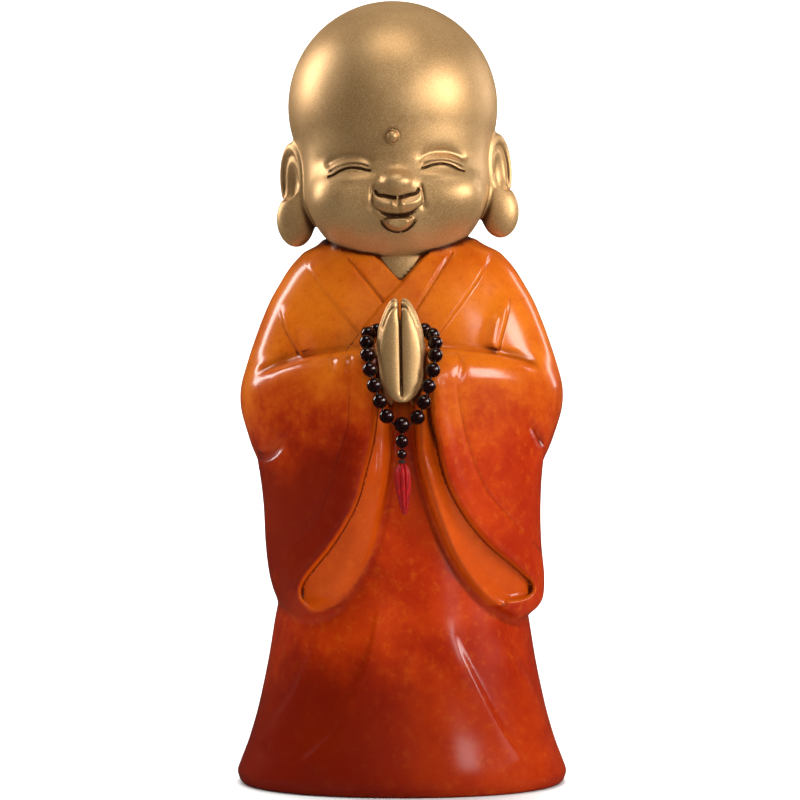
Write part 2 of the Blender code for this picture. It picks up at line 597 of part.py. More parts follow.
def polygonise(step):
    """Triangles of the zero surface, by cutting each grid cell into six tetrahedra."""
    axes, values = sample_grid(step)
    least = 0.04 * step
    values = np.where(np.abs(values) < least, least, values)
    inside = values < 0.0
    cuts_of_axis = (slice(None, -1), slice(1, None))
    corners = [inside[cut] for cut in itertools.product(cuts_of_axis, repeat=3)]
    held = sum(c.astype(int) for c in corners)
    mixed = (held > 0) & (held < 8)
    numbers = np.arange(values.size).reshape(values.shape)
    base = numbers[:-1, :-1, :-1][mixed]
    stride = (values.shape[1] * values.shape[2], values.shape[2], 1)
    tetrahedra = []
    for first, second, third in itertools.permutations(range(3)):
        path = np.cumsum([0, stride[first], stride[second], stride[third]])
        tetrahedra.append(base[:, None] + path)
    cells = np.vstack(tetrahedra)
    flat = inside.ravel()
    order = np.argsort(~flat[cells], axis=1, kind="stable")
    cells = np.take_along_axis(cells, order, axis=1)
    count = flat[cells].sum(axis=1)
    cuts = {1: (((0, 1), (0, 2), (0, 3)),), 3: (((0, 3), (1, 3), (2, 3)),),
            2: (((0, 2), (0, 3), (1, 3)), ((0, 2), (1, 3), (1, 2)))}
    edges = []
    outward = []
    for number, triangles in cuts.items():
        chosen = cells[count == number]
        spots = grid_spots(chosen, axes)
        away = spots[:, number:].mean(axis=1) - spots[:, :number].mean(axis=1)
        for triangle in triangles:
            edges.append(chosen[:, np.array(triangle)])
            outward.append(away)
    edges = np.vstack(edges)
    outward = np.vstack(outward)
    keys = edges.min(axis=2) * np.int64(values.size) + edges.max(axis=2)
    unique, faces = np.unique(keys, return_inverse=True)
    faces = faces.reshape(-1, 3)
    low, high = unique // values.size, unique % values.size
    flat_values = values.ravel()
    share = flat_values[low] / (flat_values[low] - flat_values[high])
    spots = grid_spots(low, axes) * (1.0 - share[:, None]) + grid_spots(high, axes) * share[:, None]
    a, b, c = (spots[faces[:, i]] for i in range(3))
    wrong = np.einsum("ij,ij->i", np.cross(b - a, c - a), outward) < 0.0
    faces[wrong] = faces[wrong][:, ::-1]
    return spots, faces


def grid_spots(numbers, axes):
    index = np.unravel_index(numbers, [len(a) for a in axes])
    return np.stack([axes[i][index[i]] for i in range(3)], axis=-1)


def mesh_object(name, vertices, faces, *materials):
    mesh = bpy.data.meshes.new(name)
    mesh.from_pydata([tuple(v) for v in vertices], [], [tuple(f) for f in faces])
    mesh.validate()
    thing = bpy.data.objects.new(name, mesh)
    bpy.context.scene.collection.objects.link(thing)
    for material in materials:
        mesh.materials.append(material)
    mesh.shade_smooth()
    return thing


def apply_modifiers(thing):
    """Puts the evaluated mesh in place of the plain one."""
    graph = bpy.context.evaluated_depsgraph_get()
    finished = bpy.data.meshes.new_from_object(thing.evaluated_get(graph))
    thing.modifiers.clear()
    thing.data = finished


def make_figure(robe_paint, gold_paint):
    spots, faces = polygonise(GRID_STEP)
    value, direction, slope = figure_slope(spots)
    shift = np.clip(value / np.maximum(slope, 0.4), -0.4 * GRID_STEP, 0.4 * GRID_STEP)
    spots = spots - direction * shift[:, None]
    thing = mesh_object("monk_figure", spots * SHARE, faces.tolist(), robe_paint, gold_paint)
    decimate = thing.modifiers.new("Decimate", "DECIMATE")
    decimate.ratio = FIGURE_TRIANGLES / len(faces)
    apply_modifiers(thing)
    flatten_base(thing)
    colour_skin(thing)
    thing.data.shade_smooth()
    thing.data.set_sharp_from_angle(angle=math.radians(50.0))
    return thing


def flatten_base(thing):
    """Sets the underside exactly level, so that the figure stands flat."""
    for vertex in thing.data.vertices:
        if vertex.co.z < BASE_BAND * SHARE:
            vertex.co.z = 0.0


def colour_skin(thing):
    """Gold on the faces of the head, neck and hands, the robe's lacquer on the others."""
    centres = np.array([tuple(face.center) for face in thing.data.polygons]) / SHARE
    point = tuple(centres.T)
    skin = np.minimum(head_and_neck(point), hands(point)) < robe(point)
    thing.data.polygons.foreach_set("material_index", skin.astype(np.int32))


def route_point(curve, run, distance):
    return np.array([np.interp(distance, run, curve[:, i]) for i in range(3)])


def surface_tree(thing):
    """Search tree of the casting's faces, in shares."""
    spots = [vertex.co / SHARE for vertex in thing.data.vertices]
    return BVHTree.FromPolygons(spots, [tuple(face.vertices) for face in thing.data.polygons])


def push_off(centre, room, tree):
    """Shift that leaves this much room between a point and the casting."""
    spot, normal, _, distance = tree.find_nearest(Vector(centre))
    away = Vector(centre) - spot
    if away.dot(normal) < 0.0:
        return np.array(normal * (room + distance))
    return np.array(away.normalized() * max(room - distance, 0.0))


def string_beads(tree):
    """Centres of the loop's beads in shares, the guru bead first: evenly spaced, and clear of the casting."""
    route = np.array(LOOP_ROUTE, dtype=float)
    route[:, 1] -= loop_shift(route)
    curve = curve_through(route, closed=True, parts=12)
    curve = np.vstack([curve, curve[:1]])
    run = np.concatenate([[0.0], np.cumsum(np.linalg.norm(np.diff(curve, axis=0), axis=1))])
    pitch = (BEAD_DIAMETER + BEAD_GAP) / SHARE
    extra = (GURU_BEAD_DIAMETER - BEAD_DIAMETER) / SHARE
    length = LOOP_TAUTNESS * run[-1]
    count = int((length - extra) / pitch)
    aims = np.array([route_point(curve, run, run[-1] * i / count) for i in range(count)])
    centres = aims.copy()
    radius = np.full(count, 0.5 * BEAD_DIAMETER / SHARE)
    radius[0] = 0.5 * GURU_BEAD_DIAMETER / SHARE
    clearance = FIGURE_CLEARANCE / SHARE
    spacing = radius + np.roll(radius, -1) + (length - 2.0 * radius.sum()) / count
    for step in range(RELAX_STEPS):
        calm = max(0.0, 1.0 - 1.6 * step / RELAX_STEPS)
        centres += 0.05 * calm * (aims - centres)
        middle = 0.5 * (np.roll(centres, 1, axis=0) + np.roll(centres, -1, axis=0))
        centres += 0.12 * calm * (middle - centres)
        for centre, room in zip(centres, radius + clearance):
            centre += push_off(centre, room, tree)
        for _ in range(5):
            link = np.roll(centres, -1, axis=0) - centres
            length = np.linalg.norm(link, axis=1)
            pull = 0.5 * (1.0 - spacing / length)[:, None] * link
            centres += pull
            centres -= np.roll(pull, 1, axis=0)
    return centres, radius


def loop_shift(route):
    """Moves the route forward with the hands, which leave room behind them for a bead of any size."""
    return (hand_gap() - ROUTE_HAND_GAP) * smoothstep((-route[:, 1] - 38.0) / 12.0)


def bead_mesh(name, diameter, bore, sides, rows):
    """Ball with a bore along Z, turned from its profile."""
    radius = 0.5 * diameter
    hole = 0.5 * bore
    start = math.asin(hole / radius)
    profile = []
    for row in range(rows + 1):
        angle = start + (math.pi - 2.0 * start) * row / rows
        profile.append((radius * math.sin(angle), radius * math.cos(angle)))
    turns = [2.0 * math.pi * s / sides for s in range(sides)]
    vertices = [(r * math.cos(turn), r * math.sin(turn), h) for r, h in profile for turn in turns]
    faces = []
    for row in range(rows + 1):
        here, below = row * sides, (row + 1) % (rows + 1) * sides
        for s in range(sides):
            after = (s + 1) % sides
            faces.append((here + s, below + s, below + after, here + after))
    mesh = bpy.data.meshes.new(name)
    mesh.from_pydata(vertices, [], faces)
    mesh.shade_smooth()
    mesh.set_sharp_from_angle(angle=math.radians(60.0))
    return mesh


def place(name, mesh, centre, axis, material):
    thing = bpy.data.objects.new(name, mesh)
    bpy.context.scene.collection.objects.link(thing)
    thing.location = centre
    thing.rotation_mode = "QUATERNION"
    thing.rotation_quaternion = Vector((0.0, 0.0, 1.0)).rotation_difference(Vector(axis))
    if not mesh.materials:
        mesh.materials.append(material)
    return thing


def thread(name, points, closed, material):
    curve = bpy.data.curves.new(name, "CURVE")
    curve.dimensions = "3D"
    curve.bevel_depth = 0.5 * THREAD_DIAMETER
    curve.bevel_resolution = 1
    curve.use_fill_caps = not closed
    spline = curve.splines.new("POLY")
    spline.points.add(len(points) - 1)
    for spot, point in zip(spline.points, points):
        spot.co = (*point, 1.0)
    spline.use_cyclic_u = closed
    curve.materials.append(material)
    thing = bpy.data.objects.new(name, curve)
    bpy.context.scene.collection.objects.link(thing)
    return thing


def make_loop(tree, material, thread_material):
    """Beads of the loop, each turned along the string, and the thread through their bores."""
    centres, radius = string_beads(tree)
    centres = centres * SHARE
    ahead = np.roll(centres, -1, axis=0) - centres
    behind = centres - np.roll(centres, 1, axis=0)
    ahead /= np.linalg.norm(ahead, axis=1, keepdims=True)
    behind /= np.linalg.norm(behind, axis=1, keepdims=True)
    axes = ahead + behind
    axes /= np.linalg.norm(axes, axis=1, keepdims=True)
    mesh = bead_mesh("prayer_bead", BEAD_DIAMETER, BEAD_BORE, 10, 6)
    beads = []
    points = []
    for i, (centre, axis) in enumerate(zip(centres, axes)):
        if i:
            beads.append(place(f"prayer_bead_{i:02d}", mesh, centre, axis, material))
        half_bore = math.sqrt((radius[i] * SHARE) ** 2 - (0.5 * BEAD_BORE) ** 2)
        points.append(centre - axis * half_bore)
        points.append(centre + axis * half_bore)
    beads.append(guru_bead(centres[0], axes[0], material))
    beads.append(thread("bead_thread", points, True, thread_material))
    return beads, centres[0]


def guru_bead(centre, axis, material):
    """Ball bored along the string, with a second bore up from below for the tassel's thread."""
    mesh = bead_mesh("guru_bead", GURU_BEAD_DIAMETER, BEAD_BORE, 12, 8)
    bead = place("guru_bead", mesh, centre, axis, material)
    drill = bpy.data.meshes.new("guru_drill")
    form = bmesh.new()
    bmesh.ops.create_cone(form, cap_ends=True, segments=8, radius1=0.5 * DROP_BORE, radius2=0.5 * DROP_BORE,
                          depth=GURU_BEAD_DIAMETER)
    form.to_mesh(drill)
    form.free()
    cutter = bpy.data.objects.new("guru_drill", drill)
    bpy.context.scene.collection.objects.link(cutter)
    cutter.location = Vector(centre) - Vector((0.0, 0.0, 0.5 * GURU_BEAD_DIAMETER))
    cutter.hide_render = True
    cutter.display_type = "WIRE"
    bore = bead.modifiers.new("Boolean", "BOOLEAN")
    bore.object = cutter
    bore.operation = "DIFFERENCE"
    bpy.context.view_layer.update()
    apply_modifiers(bead)
    bpy.data.objects.remove(cutter, do_unlink=True)
    return bead


def make_drop(guru, bead_material, thread_material, red):
    """Drop beads, knot and tassel below the guru bead, with the short thread that carries them."""
    upright = (0.0, 0.0, 1.0)
    level = guru[2] - 0.5 * GURU_BEAD_DIAMETER - BEAD_GAP
    pieces = []
    drops = {"drop_bead_upper": UPPER_DROP_DIAMETER, "drop_bead_lower": LOWER_DROP_DIAMETER}
    for name, diameter in drops.items():
        level -= 0.5 * diameter
        mesh = bead_mesh(name, diameter, DROP_BORE, 10, 6)
        pieces.append(place(name, mesh, (guru[0], guru[1], level), upright, bead_material))
        level -= 0.5 * diameter + BEAD_GAP
    level -= 0.5 * KNOT_HEIGHT
    pieces.append(place("tassel_knot", knot_mesh(), (guru[0], guru[1], level), upright, thread_material))
    level -= 0.5 * KNOT_HEIGHT + BEAD_GAP
    pieces.append(place("tassel", tassel_mesh(), (guru[0], guru[1], level), upright, red))
    top = guru[2] - 0.5 * BEAD_BORE - BEAD_GAP
    ends = ((guru[0], guru[1], top), (guru[0], guru[1], level + BEAD_GAP))
    pieces.append(thread("tassel_thread", ends, False, thread_material))
    return pieces


def knot_mesh():
    """Small round knot with the thread's bore through it."""
    mesh = bead_mesh("tassel_knot", KNOT_DIAMETER, DROP_BORE, 10, 4)
    squash = KNOT_HEIGHT / (KNOT_DIAMETER * math.cos(math.asin(DROP_BORE / KNOT_DIAMETER)))
    mesh.transform(Matrix.Diagonal((1.0, 1.0, squash, 1.0)))
    return mesh


def tassel_mesh():
    """Ridged spindle that hangs down from its origin and swings a little to the right at its tip."""
    rows = TASSEL_ROWS
    sides = 2 * TASSEL_RIDGES
    radius = 0.5 * TASSEL_DIAMETER
    vertices = []
    for row in range(rows + 1):
        share = row / rows
        if share < WIDEST_AT:
            girth = GIRTH_AT_TOP + (1.0 - GIRTH_AT_TOP) * math.sin(0.5 * math.pi * share / WIDEST_AT)
        else:
            girth = 1.0 - (1.0 - GIRTH_AT_TIP) * ((share - WIDEST_AT) / (1.0 - WIDEST_AT)) ** 1.7
        aside = TASSEL_SWING * share * TASSEL_LENGTH
        for s in range(sides):
            turn = 2.0 * math.pi * s / sides
            reach = radius * girth * (1.0 - TASSEL_GROOVE * (s % 2))
            vertices.append((reach * math.cos(turn) + aside, reach * math.sin(turn), -share * TASSEL_LENGTH))
    faces = [tuple(range(sides)), tuple(range((rows + 1) * sides - 1, rows * sides - 1, -1))]
    for row in range(rows):
        here, below = row * sides, (row + 1) * sides
        for s in range(sides):
            after = (s + 1) % sides
            faces.append((here + s, below + s, below + after, here + after))
    mesh = bpy.data.meshes.new("tassel")
    mesh.from_pydata(vertices, [], faces)
    mesh.shade_smooth()
    mesh.set_sharp_from_angle(angle=math.radians(60.0))
    return mesh


def stand_at_origin(things):
    """Moves everything so that the box round it is centred on the origin and stands on the ground."""
    bpy.context.view_layer.update()
    graph = bpy.context.evaluated_depsgraph_get()
    corners = []
    for thing in things:
        seen = thing.evaluated_get(graph)
        mesh = seen.to_mesh()
        corners.extend(tuple(seen.matrix_world @ vertex.co) for vertex in mesh.vertices)
        seen.to_mesh_clear()
    corners = np.array(corners)
    low, high = corners.min(axis=0), corners.max(axis=0)
    shift = Vector((-0.5 * (low[0] + high[0]), -0.5 * (low[1] + high[1]), -low[2]))
    for thing in things:
        thing.location += shift


def main():
    clear_scene()
    robe_paint = paint("robe_lacquer", (0.62, 0.15, 0.02), 0.30)
    gold_paint = paint("gold_paint", (0.42, 0.29, 0.15), 0.38, 0.9)
    bead_material = paint("bead_gloss", (0.02, 0.006, 0.005), 0.12)
    thread_material = paint("dark_thread", (0.015, 0.01, 0.01), 0.8)
    red = paint("tassel_red", (0.5, 0.008, 0.012), 0.35)
    things = [make_figure(robe_paint, gold_paint)]
    beads, guru = make_loop(surface_tree(things[0]), bead_material, thread_material)
    things += beads
    things += make_drop(guru, bead_material, thread_material, red)
    stand_at_origin(things)


main()
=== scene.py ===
import functools
import itertools
import math

import bmesh
import bpy
import numpy as np
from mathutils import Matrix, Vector


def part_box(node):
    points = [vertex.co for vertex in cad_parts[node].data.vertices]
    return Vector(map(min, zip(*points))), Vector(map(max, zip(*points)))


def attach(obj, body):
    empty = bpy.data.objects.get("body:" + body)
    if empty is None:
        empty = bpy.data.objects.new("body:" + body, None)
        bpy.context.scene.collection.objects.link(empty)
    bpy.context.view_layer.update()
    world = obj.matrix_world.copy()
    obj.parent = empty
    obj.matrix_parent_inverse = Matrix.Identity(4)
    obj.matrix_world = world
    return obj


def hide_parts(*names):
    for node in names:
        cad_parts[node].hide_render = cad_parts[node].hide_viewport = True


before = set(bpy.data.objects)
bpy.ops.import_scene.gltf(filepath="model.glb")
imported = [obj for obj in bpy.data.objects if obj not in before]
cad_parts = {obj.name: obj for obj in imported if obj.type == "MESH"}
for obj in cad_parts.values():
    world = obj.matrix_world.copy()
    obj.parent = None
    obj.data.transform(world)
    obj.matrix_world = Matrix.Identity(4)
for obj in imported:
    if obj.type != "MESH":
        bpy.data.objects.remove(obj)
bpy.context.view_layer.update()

# The figure's form, in shares: a share is one 370th of the figure's height, x to the right,
# y to the back, z up from the table
SHARE = 0.370 / 370.0
MODEL_SHIFT = (-0.0000586, 0.0062790, 0.0)
LINE_PARTS = 10
PROFILE_PARTS = 24
HEAD_STEP = 1.6
ROBE_STEP = 2.2
HANDS_STEP = 0.7
BLOCK = 4
CHUNK = 150000
CELL_CORNERS = tuple(itertools.product((0, 1), repeat=3))
INSET = 0.15

# Camera, in the same shares: level, at the photograph's distance
CAMERA_SPOT = (-0.95, -1225.0, 180.2)
CAMERA_PIXELS = 2582.0
IMAGE_SIDE = 800.0

# Paper sweep behind and below the figure, in metres
SWEEP_HALF = 2.5
SWEEP_START = 1.4
SWEEP_RADIUS = 1.0
SWEEP_PARTS = 24

# Area lamps: name, place, aim, size, power and whether they show in the gloss
FIGURE_MIDDLE = (0.0, 0.0, 0.22)
LAMPS = (
    ("left_box", (-0.84, 0.29, 0.66), FIGURE_MIDDLE, (0.18, 0.56), 5.6, True),
    ("right_box", (0.85, -0.43, 0.51), FIGURE_MIDDLE, (0.32, 0.38), 7.0, True),
    ("right_rim", (0.80, 0.56, 0.54), FIGURE_MIDDLE, (0.12, 0.50), 1.6, True),
    ("top_box", (0.0, -0.45, 1.33), FIGURE_MIDDLE, (0.60, 0.40), 4.0, True),
    ("front_soft", (0.60, -0.84, 0.46), FIGURE_MIDDLE, (0.22, 0.36), 2.0, True),
    ("front_fill", (-0.2, -1.8, 1.0), FIGURE_MIDDLE, (1.2, 1.2), 14.0, False),
    ("floor_lamp", (0.0, 0.9, 1.8), (0.0, 0.8, 0.0), (1.6, 1.4), 55.0, False),
    ("backdrop_lamp", (0.0, 1.0, 1.9), (0.0, 2.4, 0.7), (2.0, 0.8), 45.0, False),
)

# Beads, threads and tassel in metres
BEAD_DIAMETER = 0.0070
GURU_BEAD_DIAMETER = 0.0077
UPPER_DROP_DIAMETER = 0.0062
LOWER_DROP_DIAMETER = 0.0045
BEAD_BORE = 0.0022
DROP_BORE = 0.0016
THREAD_DIAMETER = 0.0008
POLISH = 0.0002
KNOT_DIAMETER = 0.0034
KNOT_HEIGHT = 0.0014
TASSEL_LENGTH = 0.0225
TASSEL_DIAMETER = 0.0074
TASSEL_RIDGES = 8
TASSEL_ROWS = 60
TASSEL_SWING = 0.055
RIDGE_SIDES = 10
GROOVE_DEPTH = 0.24
GIRTH_AT_TOP = 0.50
WIDEST_AT = 0.3
TIP_TAPER = 0.70
KNOT_ROWS = 36
BEAD_COUNT = 18

# Head: its own frame leans a little to the viewer's left
HEAD_CENTRE = (-2.7, 0, 283)
HEAD_LEAN = 0.0454
SKULL = ((0, 4, 36.6), (50, 54, 50.2))
FACE = ((0, -9, -2), (43.6, 39, 37.6))
JAW = ((0, -17.5, -14.5), (35, 29, 24.6))
CHEEK = ((-22, -30, -9), (17, 16, 15))
FOREHEAD_DOT = ((-0.9, -47.5, 17.5), (3, 3.6, 3))
NOSE_BRIDGE = ((0, -37.6, 6), (0, -41.4, -3), 4.6, 6.2)
NOSE_TIP = ((0, -46.8, -3.6), (7.6, 6.4, 5.2))
NOSE_WING = ((-6.4, -44.4, -5.2), (3.2, 3.6, 2.8))
NECK = ((-1, -3, 232), (-1, -3, 258), 29, 28)
NECK_FOOT = 226.0

# Ear: its middle, then its forms as centre and radii; the plate, hollow and tragus are turned with it
EAR_MIDDLE = (-46.6, 1)
EAR_LOBE = ((-48.4, -3, -15.6), (9.2, 6.4, 12.8))
EAR_PLATE = ((0, 0, 3.5), (4.2, 9.4, 17.6))
EAR_HOLLOW = ((6.4, 0.8, 2.5), (5.2, 4.8, 10))
EAR_TRAGUS = ((2.6, 5.6, -1.5), (2.2, 2.4, 4))

# Robe profiles: height and half size at that height
BODY_WIDTH = ((0, 76.2), (5, 77.9), (9, 76.8), (14, 74.9), (19, 73), (28, 70.2), (38, 67.6), (57, 63.6),
              (76, 60.5), (90, 58), (115, 55), (140, 53), (190, 55), (235, 50), (250, 40),
              (262, 24))
BODY_FRONT = ((0, 58.5), (8, 60), (30, 56), (60, 51.5), (85, 48.5), (115, 45.5), (140, 43), (165, 40),
              (190, 36), (212, 33.5), (240, 32.5), (250, 30), (262, 22))
BODY_BACK = ((0, 57.5), (8, 59), (30, 54), (60, 50), (85, 47), (115, 45), (165, 46), (190, 46),
             (212, 44), (235, 39), (250, 32), (262, 22))
SHOULDER_WIDTH = ((140, 44), (148, 58), (156, 66.5), (166, 71), (175, 74.6), (183, 75.6), (190, 75.2),
                  (199, 73.1), (209, 69.8), (218, 66.5), (228, 62.2), (237, 57), (242, 53.7), (247, 49.6),
                  (251, 45), (256, 32), (262, 16))
SHOULDER_FRONT = ((140, 20), (156, 31), (183, 37), (209, 37), (228, 33.5), (242, 28), (251, 21),
                  (262, 10))
SHOULDER_BACK = ((140, 22), (156, 32), (183, 39), (209, 40), (228, 38), (242, 32), (251, 25),
                 (262, 12))
BODY_POWER = 2.15
BODY_TOP = 263.0
SHOULDER_POWER = 2.4
SHOULDER_FOOT = 143.0
SHOULDER_TOP = 262.0

# How far the sides reach to the front and back of the middle, and the fade from them to the relief
SIDE = 8.0
SIDE_FADE = 14.0
NOWHERE = -99.0

# Round collar: half size of its ring, height and half thickness
COLLAR_RADII = (35, 30)
COLLAR_HEIGHT = 250.0
COLLAR_THICKNESS = 4.2

# Sleeves: outline seen from the front as (x, z), then where its back face lies at each height
LEFT_SLEEVE = ((-6, 196), (-14, 203), (-34, 201.5), (-60, 197), (-72, 186), (-72.5, 170), (-67.5, 150),
               (-65, 132), (-64, 113), (-62, 98), (-58, 87), (-50, 80), (-41, 78.5), (-31, 83), (-22.5, 92),
               (-14, 109), (-8.5, 131), (-5.2, 151), (-4.5, 166))
RIGHT_SLEEVE = ((6, 196), (14, 203.5), (34, 202.5), (58, 199), (71, 187), (71, 170), (66.5, 153), (65, 132),
                (65.5, 113), (67, 97), (66, 86), (59, 80), (50, 79), (36, 89), (24, 105), (15.5, 124),
                (8, 148), (5.8, 166))
SLEEVE_FRONT = 60.0
SLEEVE_SWEEP = 35.0
SLEEVE_INNER = 9.0
SLEEVE_SPAN = 62.0
SLEEVE_BACK = ((76, -8), (100, 4), (130, 16), (165, 28), (205, 33))

# Lines carved on the front of the robe, as (x, z) points
LEFT_CUFF_EDGE = ((-12, 186), (-13.2, 172), (-14.5, 162), (-17.5, 149), (-22.5, 132), (-32.5, 115),
                  (-45, 99), (-47.5, 91), (-44, 85), (-37, 83), (-28, 85))
RIGHT_CUFF_EDGE = ((13, 186), (14.5, 172), (17, 162), (21, 145), (28.5, 130), (39.5, 116), (53, 104),
                   (60.5, 96.5), (61.2, 91), (57, 87.5), (49, 86.5))
LEFT_CUFF_FOLD = ((-22, 197), (-24, 182), (-25, 168), (-28, 158), (-36, 133), (-45, 119), (-55, 107))
RIGHT_CUFF_FOLD = ((24, 196), (27, 175), (31.5, 157), (38.5, 140), (49, 127), (60, 115))
LEFT_RIM = ((-4.5, 190), (-4.5, 162), (-5.2, 151), (-8.5, 131), (-14, 110), (-22.5, 95), (-31, 86), (-43, 81))
RIGHT_RIM = ((5.5, 190), (5.9, 162), (7.2, 150), (15.3, 124), (22.7, 107), (35.8, 90), (47.6, 81), (58, 82))
NECK_EDGE_LEFT = ((-13, 247), (-0.4, 233), (3, 229))
NECK_EDGE_RIGHT = ((12, 248), (-0.5, 233.5), (-8.5, 225), (-17, 214))
INNER_SEAM_LEFT = ((-26, 247), (-8.5, 225), (0, 214))
INNER_SEAM_RIGHT = ((24, 250), (7, 223), (-3, 207))
OUTER_SEAM_LEFT = ((-48, 248), (-34, 229), (-19, 210), (-12, 200))
OUTER_SEAM_RIGHT = ((43, 252), (34.5, 235), (16.5, 210), (10, 200))
COLLAR_RAISE = 0.9
NECK_RECESS = 7.0
CUFF_RAISE = 1.0
MOUTH_EDGE = 2.2

# Sleeves: outline, cuff's fold, and the mouth as cuff's edge, rim, side, depth and width of the rim's roll
SLEEVES = (
    (LEFT_SLEEVE, LEFT_CUFF_FOLD, (LEFT_CUFF_EDGE, LEFT_RIM, 1, 3.6, 0)),
    (RIGHT_SLEEVE, RIGHT_CUFF_FOLD, (RIGHT_CUFF_EDGE, RIGHT_RIM, -1, 5.2, 9)),
)

# Creases: points, half width and depth; folds: points, side of the drop, half width and height
CREASES = (
    (((-72, 159), (-65, 154.5), (-58, 157.5), (-53, 166)), 2.2, 2.2),
    (((58, 173), (62, 165), (67, 157)), 2.2, 2),
    (((-70, 190), (-63, 194.5), (-54, 198), (-46, 199)), 2.4, 1),
    (((67, 194), (58, 198.5), (48, 201.5), (40, 202)), 2.4, 1),
    (((-33, 203), (-31.5, 197), (-33, 190)), 1.6, 0.5),
    (((-25, 203), (-23.5, 197), (-25, 189)), 1.5, 0.5),
    (((26, 203), (27, 195), (25.5, 187)), 1.5, 0.5),
)
CHEST_FOLDS = (
    (((-57, 225), (-53, 214), (-48, 205), (-45.5, 199)), -1, 1.5, 1.7),
    (((-48.5, 216), (-47, 208), (-45, 202)), -1, 1.2, 0.8),
    (((49, 231), (48, 222), (45, 210), (43, 202)), 1, 1.5, 1.8),
    (((44.5, 221), (42.5, 212), (41.5, 205)), 1, 1.1, 0.7),
)
SKIRT_FOLDS = (
    (((-8, 94), (-10.5, 80), (-15.7, 59), (-29, 30.5), (-48, 11.5)), -1, 2.4, 1.1),
    (((-36, 76), (-42.5, 60), (-50, 43.7), (-58, 32), (-67, 19)), -1, 2.4, 0.8),
    (((21, 82), (24, 70), (29.8, 57), (45, 28.7), (59.2, 10.5)), 1, 2.4, 1.1),
    (((47, 74), (51, 61), (58.2, 47.5), (71.4, 22.9)), 1, 2.4, 0.8),
)
BACK_FOLDS = (
    (((-30, 150), (-33, 100), (-40, 55), (-50, 14)), -1, 4, 2),
    (((-6, 165), (-8, 110), (-11, 60), (-18, 12)), -1, 4, 1.7),
    (((16, 160), (17, 105), (20, 60), (24, 12)), 1, 4, 1.7),
    (((36, 155), (39, 100), (46, 60), (58, 16)), 1, 4, 2),
)

# Lines on the robe's front round which its mesh is split finer
ROBE_LINES = [line[0] for line in CREASES + CHEST_FOLDS + SKIRT_FOLDS]
ROBE_LINES += [INNER_SEAM_LEFT, INNER_SEAM_RIGHT, OUTER_SEAM_LEFT, OUTER_SEAM_RIGHT, NECK_EDGE_LEFT]
ROBE_LINES += [NECK_EDGE_RIGHT, LEFT_CUFF_EDGE, RIGHT_CUFF_EDGE, LEFT_CUFF_FOLD, RIGHT_CUFF_FOLD]

# Face lines in the head's frame, as (x, z) points. The mesh is split finer round them, and LOWER_LIP is only
# for that
EYE_SLIT = ((-32.2, 0.9), (-29, 1.7), (-25.5, 3.5), (-21.5, 4.5), (-17, 4), (-13.5, 2.9), (-10.8, 2.4))
EYE_LID_LINE = ((-31.5, 3.2), (-27.5, 5.2), (-21.8, 6.6), (-16.2, 6), (-11.6, 4.2))
EYE_SOCKET = ((-33, 5.4), (-28.6, 8.6), (-23.5, 10.4), (-17.5, 10.2), (-12.9, 8), (-10.6, 4.6))
LOWER_LIP = ((-8.2, -17.8), (-5.6, -21.8), (-2.2, -24.4), (1.8, -24.6), (5.6, -22.4), (8.4, -17.8))
CHEEK_LINE = ((-10.6, -3.6), (-11.4, -7), (-11.9, -10.4), (-11.9, -14))
NOSE_LINE = ((-10.4, -6.2), (-8.8, -8.8), (-5.4, -9.6), (-2.2, -10.4), (0, -10.8))
FACE_LINES = (EYE_SLIT, EYE_LID_LINE, EYE_SOCKET, LOWER_LIP, CHEEK_LINE, NOSE_LINE)

# Grooves on both sides of the face: line, half width, depth and share of the length that fades
FACE_GROOVES = (
    (EYE_SLIT, 0.48, 0.95, 0.06),
    (EYE_LID_LINE, 0.42, 0.55, 0.08),
    (EYE_SOCKET, 1.9, 0.9, 0.12),
    (CHEEK_LINE, 0.9, 0.8, 0.25),
    (NOSE_LINE, 0.6, 1.2, 0.10),
)

# Soft dents round the eyes: depth, middle as x and z, half width and half height
EYE_DENTS = (
    (3.6, -21.5, 5.0, 13.5, 7.5),
    (-2.6, -21.5, 5.5, 10.0, 3.6),
    (-1.3, -20.5, -0.6, 9.0, 2.4),
    (1.2, 0.0, 6.0, 9.0, 6.0),
)

# Joined hands: half width seen from the front at each height, then for each finger from the little one
# back its height above the hand's outline, share of its width and how far behind the front it lies
HAND_WIDTH = ((178.8, 0.4), (179.6, 3.4), (182.5, 6.6), (187, 8.8), (191.5, 9.9), (198, 10.8), (205, 11.2),
              (211.8, 10.3), (216.3, 8.9), (220.8, 7.1), (225.3, 4.5), (227.4, 2.2), (228.2, 0.3))
HAND_DEPTH = 22.5
HAND_FRONT = 69.85
HAND_LEAN = 0.02
FINGERS = ((-4.2, 0.84, 3.4), (-1.4, 0.94, 8.4), (0, 1, 13.4), (-2.6, 0.98, 18.2))
FINGER_RADIUS = 3.5


def ease(value):
    """0 up to 0, 1 from 1 on, with a smooth rise between."""
    held = np.clip(value, 0.0, 1.0)
    return held * held * (3.0 - 2.0 * held)


def blend(first, second, radius):
    """Union of two fields with a fillet of about this radius."""
    share = np.clip(0.5 + 0.5 * (second - first) / radius, 0.0, 1.0)
    return second + (first - second) * share - radius * share * (1.0 - share)


def meet(first, second, radius):
    """Intersection of two fields with a rounded edge."""
    return -blend(-first, -second, radius)


def carve(body, tool, radius):
    """Body without the tool, with a rounded edge."""
    return -blend(-body, tool, radius)


def ellipsoid(point, centre, radii):
    scaled = [(point[i] - centre[i]) / radii[i] for i in range(3)]
    reach = np.sqrt(sum(s * s for s in scaled))
    slope = np.sqrt(sum((scaled[i] / radii[i]) ** 2 for i in range(3)))
    return reach * (reach - 1.0) / np.maximum(slope, 1e-6)


